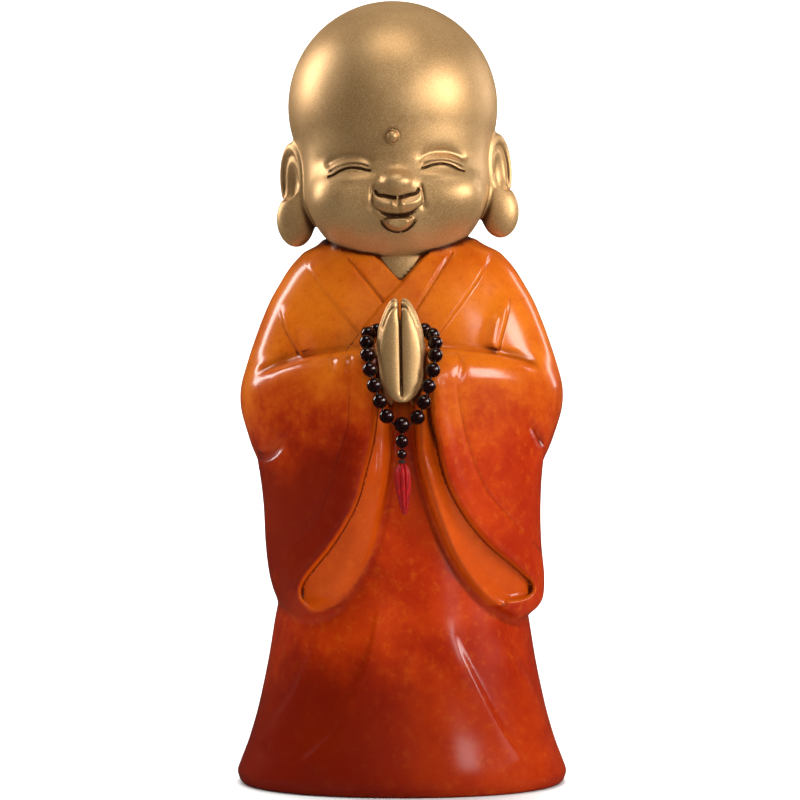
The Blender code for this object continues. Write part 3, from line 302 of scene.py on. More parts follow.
def limb(point, start, end, start_radius, end_radius):
    """Capsule that tapers from one round end to the other."""
    axis = [end[i] - start[i] for i in range(3)]
    length = sum(a * a for a in axis)
    along = sum((point[i] - start[i]) * axis[i] for i in range(3)) / length
    along = np.clip(along, 0.0, 1.0)
    gap = np.sqrt(sum((point[i] - start[i] - along * axis[i]) ** 2 for i in range(3)))
    return gap - start_radius - (end_radius - start_radius) * along


@functools.lru_cache(maxsize=None)
def smooth_line(points, closed, parts):
    """Smooth curve through points, kept for the next time it is asked for."""
    points = np.asarray(points, dtype=float)
    count = len(points)
    if closed:
        padded = np.vstack([points[-1:], points, points[:2]])
        spans = count
    else:
        padded = np.vstack([2 * points[:1] - points[1:2], points, 2 * points[-1:] - points[-2:-1]])
        spans = count - 1
    steps = np.arange(parts)[:, None] / parts
    pieces = []
    for i in range(spans):
        a, b, c, d = padded[i:i + 4]
        pieces.append(0.5 * (2 * b + (c - a) * steps + (2 * a - 5 * b + 4 * c - d) * steps ** 2
                             + (3 * b - a - 3 * c + d) * steps ** 3))
    if not closed:
        pieces.append(points[-1:])
    return np.vstack(pieces)


def at_height(table, height):
    """Value of a profile table at each height, along a smooth curve."""
    dense = smooth_line(table, False, PROFILE_PARTS)
    return np.interp(height, dense[:, 0], dense[:, 1])


def where(mask, fallback, work, *arrays):
    """Result of the work at the masked spots, and the fallback at the others."""
    result = np.full(mask.shape, float(fallback))
    if mask.any():
        result[mask] = work(*(a[mask] for a in arrays))
    return result


def near_line(x, z, points, reach):
    """Which spots lie in a box this much larger than a line."""
    spots = np.asarray(points, dtype=float)
    low = spots.min(axis=0) - reach
    high = spots.max(axis=0) + reach
    return (x > low[0]) & (x < high[0]) & (z > low[1]) & (z < high[1])


def line_field(x, z, points):
    """Distance to a line drawn in the x and z plane, the side of it and the share of its length."""
    points = smooth_line(points, False, LINE_PARTS)
    starts = points[:-1]
    steps = points[1:] - starts
    lengths = np.hypot(steps[:, 0], steps[:, 1])
    run = np.concatenate([[0.0], np.cumsum(lengths)])
    best = np.full(x.shape, 1e9)
    side = np.ones(x.shape)
    share = np.zeros(x.shape)
    for i in range(len(starts)):
        dx = x - starts[i, 0]
        dz = z - starts[i, 1]
        along = np.clip((dx * steps[i, 0] + dz * steps[i, 1]) / lengths[i] ** 2, 0.0, 1.0)
        gap = np.hypot(dx - along * steps[i, 0], dz - along * steps[i, 1])
        nearer = gap < best
        best = np.where(nearer, gap, best)
        side = np.where(nearer, np.sign(steps[i, 0] * dz - steps[i, 1] * dx), side)
        share = np.where(nearer, (run[i] + along * lengths[i]) / run[-1], share)
    return best, side, share


def outline_field(x, z, points):
    """Signed distance to a closed outline drawn in the x and z plane, negative inside."""
    points = smooth_line(points, True, LINE_PARTS)
    best = np.full(x.shape, 1e9)
    inside = np.zeros(x.shape, dtype=bool)
    for start, end in zip(points, np.roll(points, -1, axis=0)):
        step = end - start
        dx = x - start[0]
        dz = z - start[1]
        along = np.clip((dx * step[0] + dz * step[1]) / (step @ step), 0.0, 1.0)
        best = np.minimum(best, np.hypot(dx - along * step[0], dz - along * step[1]))
        crosses = (start[1] > z) != (end[1] > z)
        if step[1] != 0.0:
            inside ^= crosses & (x < start[0] + (z - start[1]) * step[0] / step[1])
    return np.where(inside, -best, best)


def fade(share, first, last):
    """0 at both ends of a line, 1 from these shares of its length on."""
    return ease(share / first) * ease((1.0 - share) / last)


def crease(x, z, points, width, depth, fading=0.35):
    """Depth of a soft groove that fades at both ends."""
    def work(x, z):
        gap, _, share = line_field(x, z, points)
        return depth * fade(share, fading, fading) * np.exp(-(gap / width) ** 2)
    return where(near_line(x, z, points, 3.0 * width), 0.0, work, x, z)


def fold(x, z, points, outward, width, height):
    """Fold of cloth that rises slowly up to its line and drops quickly on the outer side."""
    def work(x, z):
        gap, side, share = line_field(x, z, points)
        across = outward * gap * side
        rise = np.exp(-(np.minimum(across, 0.0) / (3.2 * width)) ** 2)
        drop = 1.0 - ease(across / (1.5 * width))
        return -height * fade(share, 0.30, 0.10) * rise * drop
    return where(near_line(x, z, points, 9.0 * width), 0.0, work, x, z)


def across_line(x, z, points):
    """Signed distance across a line: positive on its left, looking from the first point to the last."""
    gap, side, _ = line_field(x, z, points)
    return gap * side


def oval_loft(point, width, front, back, power):
    """Body whose level cuts are ovals, deeper in front than behind or the other way about."""
    x, y, z = point
    half_width = at_height(width, z)
    half_depth = np.where(y < 0.0, at_height(front, z), at_height(back, z))
    a = np.abs(x) / half_width
    b = np.abs(y) / half_depth
    reach = np.maximum((a ** power + b ** power) ** (1.0 / power), 1e-4)
    slope = np.hypot((a / reach) ** (power - 1.0) / half_width, (b / reach) ** (power - 1.0) / half_depth)
    return (reach - 1.0) / np.maximum(slope, 1e-6)


def sleeve(point, outline, cuff_fold, mouth):
    """One hanging sleeve, from the forearm's top down to the low corner of its mouth."""
    x, y, z = point
    reach = np.clip((np.abs(x) - SLEEVE_INNER) / SLEEVE_SPAN, 0.0, 1.3)
    front = -SLEEVE_FRONT + SLEEVE_SWEEP * reach ** 1.6 + 4.0 * ease((150.0 - z) / 70.0)
    near = (y < -SIDE) & (z > 76.0) & (z < 200.0)
    front = front + where(near, 0.0, lambda *spot: sleeve_mouth(*spot, *mouth), x, z)
    front = front - where(near, 0.0, lambda *spot: cuff_band(*spot, mouth[0], cuff_fold, mouth[2]), x, z)
    back = at_height(SLEEVE_BACK, z)
    slab = meet(front - y, y - back, 10.0)
    return meet(outline_field(x, z, outline), slab, 13.0)


def sleeve_mouth(x, z, cuff_edge, rim, hand, step, roll):
    """How far the long opening between the cuff's edge and the lower cloth's rim lies behind the cuff."""
    below_cuff = hand * across_line(x, z, cuff_edge)
    above_rim = -hand * across_line(x, z, rim)
    depth = step + 2.5 * ease((z - 140.0) / 25.0)
    inner_roll = ease((above_rim - 1.0) / roll) if roll else 1.0
    ends = ease((190.0 - z) / 12.0) * ease((z - 82.0) / 9.0)
    return depth * ease(below_cuff / MOUTH_EDGE) * inner_roll * ends


def cuff_band(x, z, cuff_edge, cuff_fold, hand):
    """Raised band between the cuff's edge and the fold beside it, thicker along the edge."""
    inside_edge = -hand * across_line(x, z, cuff_edge)
    inside_fold = hand * across_line(x, z, cuff_fold)
    band = ease((inside_edge + 0.5) / 1.5) * (0.4 + 0.6 * ease((inside_fold + 2.0) / 6.0))
    roll = np.exp(-((inside_edge - 3.2) / 3.2) ** 2)
    ends = ease((198.0 - z) / 8.0) * ease((z - 86.0) / 14.0)
    return CUFF_RAISE * (band + roll) * ends


def collar_relief(x, z):
    """Height of the crossed lapels over the chest, and the drop to the bare neck between them."""
    left_outer = across_line(x, z, OUTER_SEAM_LEFT)
    right_edge = across_line(x, z, NECK_EDGE_RIGHT)
    right_outer = across_line(x, z, OUTER_SEAM_RIGHT)
    left_edge = across_line(x, z, NECK_EDGE_LEFT)
    on_right = ease(0.5 + right_edge / 1.8)
    on_left = ease(0.5 + left_outer / 2.2) * (1.0 - on_right)
    on_right = on_right * ease(0.5 - right_outer / 2.2)
    bare = ease(left_edge / 3.0) * ease(-right_edge / 3.0) * ease((z - 229.0) / 3.0)
    seams = crease(x, z, INNER_SEAM_LEFT, 0.85, 0.75, 0.05) * (1.0 - on_right)
    seams = seams + crease(x, z, INNER_SEAM_RIGHT, 0.85, 0.75, 0.05)
    top = ease((z - 196.0) / 6.0)
    return COLLAR_RAISE * top * (0.9 * on_left + 1.7 * on_right) - seams - NECK_RECESS * bare


def robe(point):
    x, y, z = point
    body = oval_loft(point, BODY_WIDTH, BODY_FRONT, BODY_BACK, BODY_POWER)
    body = meet(body, z - BODY_TOP, 10.0)
    shoulders = oval_loft(point, SHOULDER_WIDTH, SHOULDER_FRONT, SHOULDER_BACK, SHOULDER_POWER)
    shoulders = meet(meet(shoulders, SHOULDER_FOOT - z, 14.0), z - SHOULDER_TOP, 6.0)
    front = ease((-y - SIDE) / SIDE_FADE)
    back = ease((y - SIDE) / SIDE_FADE)
    front_z = np.where(y < -SIDE, z, NOWHERE)
    back_z = np.where(y > SIDE, z, NOWHERE)
    body = blend(body, shoulders, 9.0)
    body = body - front * where((y < -SIDE) & (z > 196.0), 0.0, collar_relief, x, z)
    for line in SKIRT_FOLDS + CHEST_FOLDS:
        body = body + front * fold(x, front_z, *line)
    for line in BACK_FOLDS:
        body = body + back * fold(x, back_z, *line)
    for outline, cuff_fold, mouth in SLEEVES:
        near = (mouth[2] * x < 8.0) & (z > 60.0) & (z < 222.0)
        cloth = where(near, 25.0, lambda *spot: sleeve(spot, outline, cuff_fold, mouth), x, y, z)
        body = blend(body, cloth, 3.0 + 6.0 * ease((np.abs(x) - 50.0) / 20.0))
    for points, width, depth in CREASES:
        body = body + front * crease(x, front_z, points, width, depth)
    for points in (LEFT_CUFF_FOLD, RIGHT_CUFF_FOLD):
        body = body + front * crease(x, front_z, points, 0.8, 0.45, 0.2)
    ring = np.hypot((x + 1.0) / COLLAR_RADII[0], (y - 3.0) / COLLAR_RADII[1])
    collar_top = COLLAR_HEIGHT + 3.0 * np.clip((y - 3.0) / COLLAR_RADII[1], -1.0, 1.0)
    collar = np.hypot((ring - 1.0) * 32.0, 0.6 * (z - collar_top)) - COLLAR_THICKNESS
    return meet(blend(body, collar, 3.0), -z - INSET, 2.0)


def head_frame(point):
    """The point in the leaning frame of the head."""
    x = point[0] - HEAD_CENTRE[0]
    z = point[2] - HEAD_CENTRE[2]
    return x + HEAD_LEAN * z, point[1], z - HEAD_LEAN * x


def head(point):
    """Head with its ears, in the leaning frame of the head."""
    x, y, z = head_frame(point)
    spot = (x, y, z)
    mirrored = (-np.abs(x), y, z)
    shape = blend(ellipsoid(spot, *SKULL), ellipsoid(spot, *FACE), 10.0)
    shape = blend(shape, ellipsoid(spot, *JAW), 6.0)
    shape = blend(shape, ellipsoid(mirrored, *CHEEK), 9.0)
    shape = shape + face_hollows(mirrored)
    shape = blend(shape, nose(mirrored), 3.0)
    shape = shape + face_lines(spot, mirrored)
    shape = blend(shape, ellipsoid(spot, *FOREHEAD_DOT), 0.8)
    return blend(shape, ear(mirrored), 2.5)


def face_hollows(mirrored):
    """Soft sinking of the eye sockets, less over the lids themselves."""
    x, y, z = mirrored
    front = ease((-y - 18.0) / 12.0)
    return front * sum(depth * dent(x, z, *spot) for depth, *spot in EYE_DENTS)


def dent(x, z, middle_x, middle_z, wide, high):
    """1 at its middle, falling off softly to all sides."""
    return np.exp(-((x - middle_x) / wide) ** 2 - ((z - middle_z) / high) ** 2)


def nose(mirrored):
    upper = blend(limb(mirrored, *NOSE_BRIDGE), ellipsoid(mirrored, *NOSE_TIP), 5.0)
    return blend(upper, ellipsoid(mirrored, *NOSE_WING), 2.2)


def face_lines(spot, mirrored):
    """Eye lines, smile and lips as shallow relief on the front of the face."""
    x, y, z = spot
    fold_x, _, _ = mirrored
    front = ease((-y - 20.0) / 10.0)
    relief = sum(crease(fold_x, z, *groove) for groove in FACE_GROOVES)
    middle = z + 19.0 - 0.036 * x * x
    opening = np.exp(-(x / 8.6) ** 4 - (middle / 0.75) ** 2)
    upper_lip = np.exp(-(x / 9.8) ** 4 - ((z + 14.2 - 0.016 * x * x) / 2.5) ** 2)
    below = middle + 3.6
    around = np.hypot(x / 6.9, below / 3.0)
    lower_lip = (4.4 - 0.3 * below) * ease((1.12 - around) / 0.55)
    lip_line = 0.8 * np.exp(-((around - 1.16) / 0.13) ** 2) * ease((0.8 - below) / 2.0)
    corner = dent(fold_x, z, -11.6, -14.2, 1.8, 2.0)
    groove = dent(x, z, 0.0, -13.6, 1.1, 2.2)
    flank = dent(np.abs(x), z, 2.2, -13.8, 0.9, 2.2)
    muzzle = np.exp(-(x / 13.0) ** 4 - ((z + 18.5) / 9.0) ** 4)
    relief = relief + 1.6 * opening - 2.4 * upper_lip - lower_lip + 1.0 * corner
    return front * (relief + lip_line + 0.8 * groove - 0.5 * flank - 1.2 * muzzle)


def ear(mirrored):
    """Long ear with a rolled rim, a hollow and a full lobe."""
    x = mirrored[0] - EAR_MIDDLE[0]
    y = mirrored[1] - EAR_MIDDLE[1]
    z = mirrored[2]
    out = -0.8 * x - 0.6 * y
    forward = 0.6 * x - 0.8 * y
    turned = (out, forward, z)
    shape = blend(ellipsoid(turned, *EAR_PLATE), ellipsoid(mirrored, *EAR_LOBE), 8.0)
    round_the_ear = np.hypot(forward / 8.0, (z - 4.0) / 14.8)
    rim = np.hypot((round_the_ear - 1.0) * 11.0, out - 2.6) - 2.2
    rim = meet(rim, -(z + 6.0), 3.0)
    shape = carve(blend(shape, rim, 1.2), ellipsoid(turned, *EAR_HOLLOW), 1.4)
    return blend(shape, ellipsoid(turned, *EAR_TRAGUS), 1.0)


def hands(point):
    """Both hands, palm to palm, little fingers to the front."""
    x, y, z = point
    x = x + 0.4 + HAND_LEAN * (z - 190.0)
    spot = (-np.abs(x), y, z)
    middle = -HAND_FRONT + 0.5 * HAND_DEPTH
    depth = 0.5 * HAND_DEPTH - 0.8 - 0.10 * np.abs(z - 196.0)
    shape = leaf(spot, 0.97 * at_height(HAND_WIDTH, z), middle, np.maximum(depth, 3.0))
    shape = meet(shape, z - 214.0, 3.0)
    foot, top = HAND_WIDTH[0][0], HAND_WIDTH[-1][0]
    for rise, share, behind in FINGERS:
        stretch = (top - foot) / (top - foot + rise)
        width = share * at_height(HAND_WIDTH, foot + (z - foot) * stretch)
        finger = leaf(spot, width, -HAND_FRONT + behind, FINGER_RADIUS)
        shape = blend(shape, finger, 0.5)
    shape = meet(shape, np.abs(z - 0.5 * (foot + top)) - 0.5 * (top - foot) - 0.2, 0.8)
    wrist = limb(spot, (-4.6, middle + 1.0, 191.0), (-7.5, middle + 14.0, 182.0), 5.0, 5.0)
    shape = blend(shape, wrist, 3.0)
    thumb = limb(spot, (-8.8, middle + 5.0, 198.0), (-9.4, middle + 4.0, 205.0), 2.6, 2.4)
    shape = blend(shape, thumb, 0.8)
    seam = np.exp(-np.abs(x) / 0.5) + 0.5 * np.exp(-(x / 2.6) ** 2)
    return shape + (2.0 + 2.5 * ease((z - 213.0) / 8.0)) * seam * ease((z - 180.0) / 4.0)


def leaf(spot, width, middle, depth):
    """Oval section of this half width and half depth about a middle line."""
    x, y, _ = spot
    width = np.maximum(width, 0.3)
    a = np.abs(x) / width
    b = np.abs(y - middle) / depth
    reach = np.maximum(np.sqrt(a * a + b * b), 1e-4)
    slope = np.hypot(a / width, b / depth) / reach
    return (reach - 1.0) / np.maximum(slope, 0.05)


def figure(point):
    """Signed distance to the whole casting, in shares."""
    shape = np.minimum(robe(point), head_and_neck(point))
    return np.minimum(shape, hands(point))


def head_and_neck(point):
    neck = meet(limb(point, *NECK), NECK_FOOT - point[2], 1.0)
    return blend(head(point), neck, 0.8)


def slope_of(field, spots, reach):
    """Distance, outward direction and steepness at each spot, from four samples round it."""
    corners = np.array([[1.0, -1.0, -1.0], [-1.0, -1.0, 1.0], [-1.0, 1.0, -1.0], [1.0, 1.0, 1.0]])
    values = [field(tuple((spots + reach * corner).T)) for corner in corners]
    slope = sum(value[:, None] * corner for value, corner in zip(values, corners)) / (4.0 * reach)
    length = np.maximum(np.linalg.norm(slope, axis=1, keepdims=True), 1e-6)
    return sum(values) / 4.0, slope / length, length[:, 0]


def sample_near_surface(field, low, high, step, margin):
    """Samples of a field on a grid, true close to its surface and of the right sign elsewhere."""
    counts = [math.ceil((high[i] - low[i]) / (BLOCK * step)) for i in range(3)]
    coarse_axes = [low[i] + (np.arange(counts[i]) + 0.5) * BLOCK * step for i in range(3)]
    grid = np.meshgrid(*coarse_axes, indexing="ij")
    coarse = field(tuple(g.ravel() for g in grid)).reshape(counts)
    reach = BLOCK * step + margin
    live = np.abs(coarse) < reach
    cells = live.repeat(BLOCK, 0).repeat(BLOCK, 1).repeat(BLOCK, 2)
    sampled = np.pad(cells, 1)
    spots_live = np.zeros([n + 1 for n in cells.shape], dtype=bool)
    for corner in CELL_CORNERS:
        spots_live |= sampled[tuple(slice(c, c + n + 1) for c, n in zip(corner, cells.shape))]
    far = coarse.repeat(BLOCK, 0).repeat(BLOCK, 1).repeat(BLOCK, 2)
    values = np.pad(far, (0, 1), mode="edge")
    index = np.argwhere(spots_live)
    spots = np.asarray(low) + index * step
    found = np.empty(len(spots))
    for start in range(0, len(spots), CHUNK):
        part = slice(start, start + CHUNK)
        found[part] = field(tuple(spots[part].T))
    values[spots_live] = found
    return values, cells


def surface_net(values, live, low, step):
    """Corners and faces of the zero surface, one corner in each cell that it crosses."""
    inside = values < 0.0
    size = live.shape
    held = np.zeros(size, dtype=np.int8)
    for corner in CELL_CORNERS:
        held += inside[tuple(slice(c, c + n) for c, n in zip(corner, size))]
    mixed = (held > 0) & (held < 8) & live
    cells = np.argwhere(mixed)
    number = np.full(size, -1, dtype=np.int64)
    number[mixed] = np.arange(len(cells))
    total = np.zeros((len(cells), 3))
    count = np.zeros(len(cells))
    units = np.eye(3, dtype=int)
    for axis in range(3):
        first, second = units[(axis + 1) % 3], units[(axis + 2) % 3]
        for a, b in itertools.product((0, 1), repeat=2):
            start = cells + a * first + b * second
            v0 = values[tuple(start.T)]
            v1 = values[tuple((start + units[axis]).T)]
            cuts = (v0 < 0.0) != (v1 < 0.0)
            share = np.where(cuts, v0 / np.where(cuts, v0 - v1, 1.0), 0.0)
            spot = start + share[:, None] * units[axis]
            total[cuts] += spot[cuts]
            count += cuts
    spots = np.asarray(low) + step * total / count[:, None]
    faces = []
    for axis in range(3):
        first, second = units[(axis + 1) % 3], units[(axis + 2) % 3]
        start = np.argwhere(np.diff(inside, axis=axis))
        ring = [start - first - second, start - second, start, start - first]
        kept = np.all([(c >= 0).all(axis=1) & (c < size).all(axis=1) for c in ring], axis=0)
        face = np.stack([number[tuple(c[kept].T)] for c in ring], axis=1)
        outward = inside[tuple(start[kept].T)]
        face[~outward] = face[~outward][:, ::-1]
        faces.append(face[(face >= 0).all(axis=1)])
    return spots, np.vstack(faces)


def onto_surface(field, spots, reach):
    """Spots moved to just inside the zero surface, no further than this in one step."""
    for _ in range(2):
        value, direction, slope = slope_of(field, spots, 0.20)
        shift = np.clip((value + INSET) / np.maximum(slope, 0.5), -reach, reach)
        spots = spots - direction * shift[:, None]
    return spots


def near_carving(x, z, lines, reach):
    """Which spots lie this close to one of the lines, seen from the front."""
    near = np.zeros(x.shape, dtype=bool)
    for points in lines:
        found = where(near_line(x, z, points, reach), 99.0, lambda *spot: line_field(*spot, points)[0], x, z)
        near |= found < reach
    return near


def carved_on_robe(spots, reach):
    x, y, z = spots.T
    return (y < -SIDE) & near_carving(x, z, ROBE_LINES, reach)


def carved_on_head(spots, reach):
    x, y, z = head_frame(spots.T)
    return (y < -20.0) & near_carving(-np.abs(x), z, FACE_LINES, reach)


def carved_nowhere(spots, _):
    return np.zeros(len(spots), dtype=bool)


def refine(mesh, direction, bend, carved):
    """Splits the edges round carved spots and where the surface turns by more than this share."""
    form = bmesh.new()
    form.from_mesh(mesh)
    ends = np.array([(e.verts[0].index, e.verts[1].index) for e in form.edges])
    turn = 1.0 - np.einsum("ij,ij->i", direction[ends[:, 0]], direction[ends[:, 1]])
    sharp = carved.copy()
    sharp[ends[turn > bend].ravel()] = True
    chosen = [f for f in form.faces if any(sharp[v.index] for v in f.verts)]
    edges = list({e for f in chosen for e in f.edges})
    bmesh.ops.subdivide_edges(form, edges=edges, cuts=1, use_grid_fill=True)
    bmesh.ops.triangulate(form, faces=[f for f in form.faces if len(f.verts) > 4])
    form.to_mesh(mesh)
    form.free()


def place(mesh, spots):
    mesh.vertices.foreach_set("co", spots.astype(np.float32).ravel())


def spots_of(mesh):
    spots = np.empty(3 * len(mesh.vertices), dtype=np.float32)
    mesh.vertices.foreach_get("co", spots)
    return spots.reshape(-1, 3).astype(float)


def skin_object(name, field, low, high, step, margin, passes, carved):
    """Fine mesh of one part of the casting, with its true normals and what its material reads."""
    values, live = sample_near_surface(field, low, high, step, margin)
    spots, faces = surface_net(values, live, low, step)
    spots = onto_surface(field, spots, 0.5 * step)
    mesh = bpy.data.meshes.new(name)
    mesh.vertices.add(len(spots))
    place(mesh, spots)
    mesh.loops.add(4 * len(faces))
    mesh.loops.foreach_set("vertex_index", faces.astype(np.int32).ravel())
    mesh.polygons.add(len(faces))
    mesh.polygons.foreach_set("loop_start", np.arange(0, 4 * len(faces), 4, dtype=np.int32))
    mesh.update(calc_edges=True)
    mesh.validate()
    for bend, reach in passes:
        _, direction, _ = slope_of(field, spots, 0.30)
        refine(mesh, direction, bend, carved(spots, reach))
        spots = onto_surface(field, spots_of(mesh), 0.3 * step)
        place(mesh, spots)
    mesh.shade_smooth()
    _, direction, slope = slope_of(field, spots, 0.20)
    slope = np.clip(slope, 0.4, 1.5)
    # groove and hollow darken the paint in the recesses: partly antique wash, partly painted shade
    store(mesh, "groove", np.clip(1.0 - figure(tuple((spots + direction).T)) / slope, 0.0, 1.0))
    store(mesh, "hollow", hollow_at(spots, direction, slope))
    store(mesh, "ridge", ridge_at(spots, direction, slope))
    store(mesh, "lining", lining_at(spots))
    place(mesh, spots * SHARE + np.array(MODEL_SHIFT))
    mesh.update()
    mesh.normals_split_custom_set_from_vertices(direction.astype(np.float32))
    return add_object(name, mesh)


def add_object(name, data):
    thing = bpy.data.objects.new(name, data)
    bpy.context.scene.collection.objects.link(thing)
    return thing


def store(mesh, name, values):
    attribute = mesh.attributes.new(name, "FLOAT", "POINT")
    attribute.data.foreach_set("value", values.astype(np.float32))


def hollow_at(spots, direction, slope):
    """How enclosed each spot is: 0 in the open, near 1 deep in a fold."""
    closed = np.zeros(len(spots))
    for reach, weight in ((1.2, 0.4), (3.0, 0.35), (8.0, 0.25)):
        room = figure(tuple((spots + reach * direction).T)) / slope
        closed += weight * np.clip((reach - room) / reach, 0.0, 1.0)
    return closed


def ridge_at(spots, direction, slope):
    """How sharp an outer edge each spot lies on: 0 on a flat, near 1 on a thin rim."""
    depth = 2.0
    held = -figure(tuple((spots - depth * direction).T)) / slope
    return np.clip((depth - held) / depth, 0.0, 1.0)


def lining_at(spots):
    """1 on the lower cloth that shows inside a sleeve's long opening, 0 elsewhere."""
    x, y, z = spots.T
    found = np.zeros(len(spots))
    for _, _, (cuff_edge, rim, hand, _, _) in SLEEVES:
        near = (y < -20.0) & (hand * x < 0.0) & (z > 76.0) & (z < 190.0)
        found += where(near, 0.0, lambda u, v: ease(0.5 + hand * across_line(u, v, cuff_edge) / 2.0)
                       * ease(0.5 - hand * across_line(u, v, rim) / 2.0), x, z)
    return found


def smooth_mesh(name, vertices, faces):
    mesh = bpy.data.meshes.new(name)
    mesh.from_pydata(vertices, [], faces)
    mesh.shade_smooth()
    return mesh


def ring_faces(rows, sides, closed):
    """Faces between rings of vertices, also from the last ring to the first where closed."""
    faces = []
    for row in range(rows if closed else rows - 1):
        here = row * sides
        below = (row + 1) % rows * sides
        for s in range(sides):
            after = (s + 1) % sides
            faces.append((here + s, below + s, below + after, here + after))
    return faces


def lathe_mesh(name, profile, sides):
    """Closed ring-shaped mesh turned round Z from a closed profile of (radius, height)."""
    turns = 2.0 * np.pi * np.arange(sides) / sides
    vertices = [(r * math.cos(t), r * math.sin(t), h) for r, h in profile for t in turns]
    return smooth_mesh(name, vertices, ring_faces(len(profile), sides, True))


def bead_mesh(name, diameter, bore, sides=40, rows=24):
    """Polished ball with a bore along Z and softened bore edges."""
    radius = 0.5 * diameter
    hole = 0.5 * bore
    lip = 0.05 * diameter
    start = math.asin((hole + lip) / radius)
    profile = []
    for row in range(rows + 1):
        angle = start + (math.pi - 2.0 * start) * row / rows
        profile.append((radius * math.sin(angle), radius * math.cos(angle)))
    top = radius * math.cos(start)
    profile += [(hole + 0.3 * lip, -top + 0.25 * lip), (hole, -top + 1.0 * lip), (hole, 0.0),
                (hole, top - 1.0 * lip), (hole + 0.3 * lip, top - 0.25 * lip)]
    return lathe_mesh(name, profile, sides)


def node_centre(name):
    low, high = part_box(name)
    return 0.5 * (np.array(low) + np.array(high))


def put(name, mesh, centre, axis, material):
    """Piece at this centre, with its own Z turned to this axis."""
    thing = add_object(name, mesh)
    thing.location = Vector(centre)
    mesh.transform(Vector((0.0, 0.0, 1.0)).rotation_difference(Vector(axis)).to_matrix().to_4x4())
    mesh.materials.append(material)
    return thing


def settle(thing, node):
    """The piece stands for its CAD node, which is hidden, and rides on the one body."""
    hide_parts(node)
    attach(thing, "root")


def tube(name, points, diameter, material):
    """Thread along points, as an open curve."""
    curve = bpy.data.curves.new(name, "CURVE")
    curve.dimensions = "3D"
    curve.bevel_depth = 0.5 * diameter
    curve.bevel_resolution = 4
    curve.use_fill_caps = True
    spline = curve.splines.new("POLY")
    spline.points.add(len(points) - 1)
    for spot, point in zip(spline.points, points):
        spot.co = (*point, 1.0)
    curve.materials.append(material)
    return add_object(name, curve)


def unit(vectors):
    return vectors / np.linalg.norm(vectors, axis=1, keepdims=True)


def make_beads(gloss, fibre):
    names = ["guru_bead"] + [f"prayer_bead_{i:02d}" for i in range(1, BEAD_COUNT + 1)]
    centres = np.array([node_centre(name) for name in names])
    axes = unit(unit(np.roll(centres, -1, axis=0) - centres) + unit(centres - np.roll(centres, 1, axis=0)))
    points = []
    for i, name in enumerate(names):
        diameter = BEAD_DIAMETER if i else GURU_BEAD_DIAMETER
        mesh = bead_mesh(name, diameter - POLISH, BEAD_BORE)
        settle(put(name + "_polished", mesh, centres[i], axes[i], gloss), name)
        reach = 0.5 * diameter - 0.0004
        if i:
            points.append(centres[i] - axes[i] * reach)
        points.append(centres[i] + axes[i] * reach)
    points.append(centres[0] - axes[0] * 0.5 * GURU_BEAD_DIAMETER)
    loop = tube("bead_thread_twisted", points, THREAD_DIAMETER, fibre)
    settle(loop, "bead_thread")
    length = sum(float(np.linalg.norm(np.subtract(b, a))) for a, b in zip(points, points[1:]))
    tuple(points[0])
    return centres[0]


def make_drop(gloss, fibre, red):
    upright = (0.0, 0.0, 1.0)
    drops = (("drop_bead_upper", UPPER_DROP_DIAMETER), ("drop_bead_lower", LOWER_DROP_DIAMETER))
    for name, diameter in drops:
        mesh = bead_mesh(name, diameter, DROP_BORE)
        settle(put(name + "_polished", mesh, node_centre(name), upright, gloss), name)
    knot = put("tassel_knot_wound", knot_mesh(), node_centre("tassel_knot"), upright, fibre)
    settle(knot, "tassel_knot")
    low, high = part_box("tassel_thread")
    middle = 0.5 * (low + high)
    thread = tube("tassel_thread_twisted", [(middle.x, middle.y, low.z), (middle.x, middle.y, high.z)],
                  THREAD_DIAMETER, fibre)
    settle(thread, "tassel_thread")
    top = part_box("tassel")[1]
    tassel = put("tassel_ridged", tassel_mesh(), (middle.x, middle.y, top.z), upright, red)
    settle(tassel, "tassel")


def knot_mesh():
    """Flat round knot wound from three turns of thread, with its bore."""
    radius = 0.5 * KNOT_DIAMETER
    half = 0.5 * KNOT_HEIGHT
    turn = half / 3.0
    profile = []
    for step in range(KNOT_ROWS + 1):
        share = step / KNOT_ROWS
        bulge = turn * abs(math.sin(math.pi * 3.0 * share))
        profile.append((radius - turn + bulge, half - 2.0 * half * share))
    hole = 0.5 * DROP_BORE
    rim = 0.5 * (hole + radius)
    profile += [(rim, -half), (hole, -0.9 * half), (hole, 0.9 * half), (rim, half)]
    return lathe_mesh("tassel_knot", profile, KNOT_ROWS)


def tassel_mesh():
    """Spindle with rounded lengthwise ridges and sharp grooves, its tip swung to the right."""
    rows = TASSEL_ROWS
    sides = RIDGE_SIDES * TASSEL_RIDGES
    vertices = []
    for row in range(rows + 1):
        share = row / rows
        girth = GIRTH_AT_TOP + (1.0 - GIRTH_AT_TOP) * math.sin(math.pi * min(share / 0.6, 1.0) ** 0.8)
        if share > WIDEST_AT:
            girth = 1.0 - TIP_TAPER * ((share - WIDEST_AT) / (1.0 - WIDEST_AT)) ** 1.7
        for s in range(sides):
            across = (s % RIDGE_SIDES) / RIDGE_SIDES
            reach = 0.5 * TASSEL_DIAMETER * girth * (1.0 - GROOVE_DEPTH * abs(2.0 * across - 1.0) ** 3)
            angle = 2.0 * math.pi * s / sides - math.pi / TASSEL_RIDGES
            side = reach * math.cos(angle) + TASSEL_SWING * share * TASSEL_LENGTH
            vertices.append((side, reach * math.sin(angle), -share * TASSEL_LENGTH))
    caps = [tuple(range(sides)), tuple(range((rows + 1) * sides - 1, rows * sides - 1, -1))]
    mesh = smooth_mesh("tassel", vertices, caps + ring_faces(rows + 1, sides, False))
    mesh.set_sharp_from_angle(angle=math.radians(60.0))
    return mesh


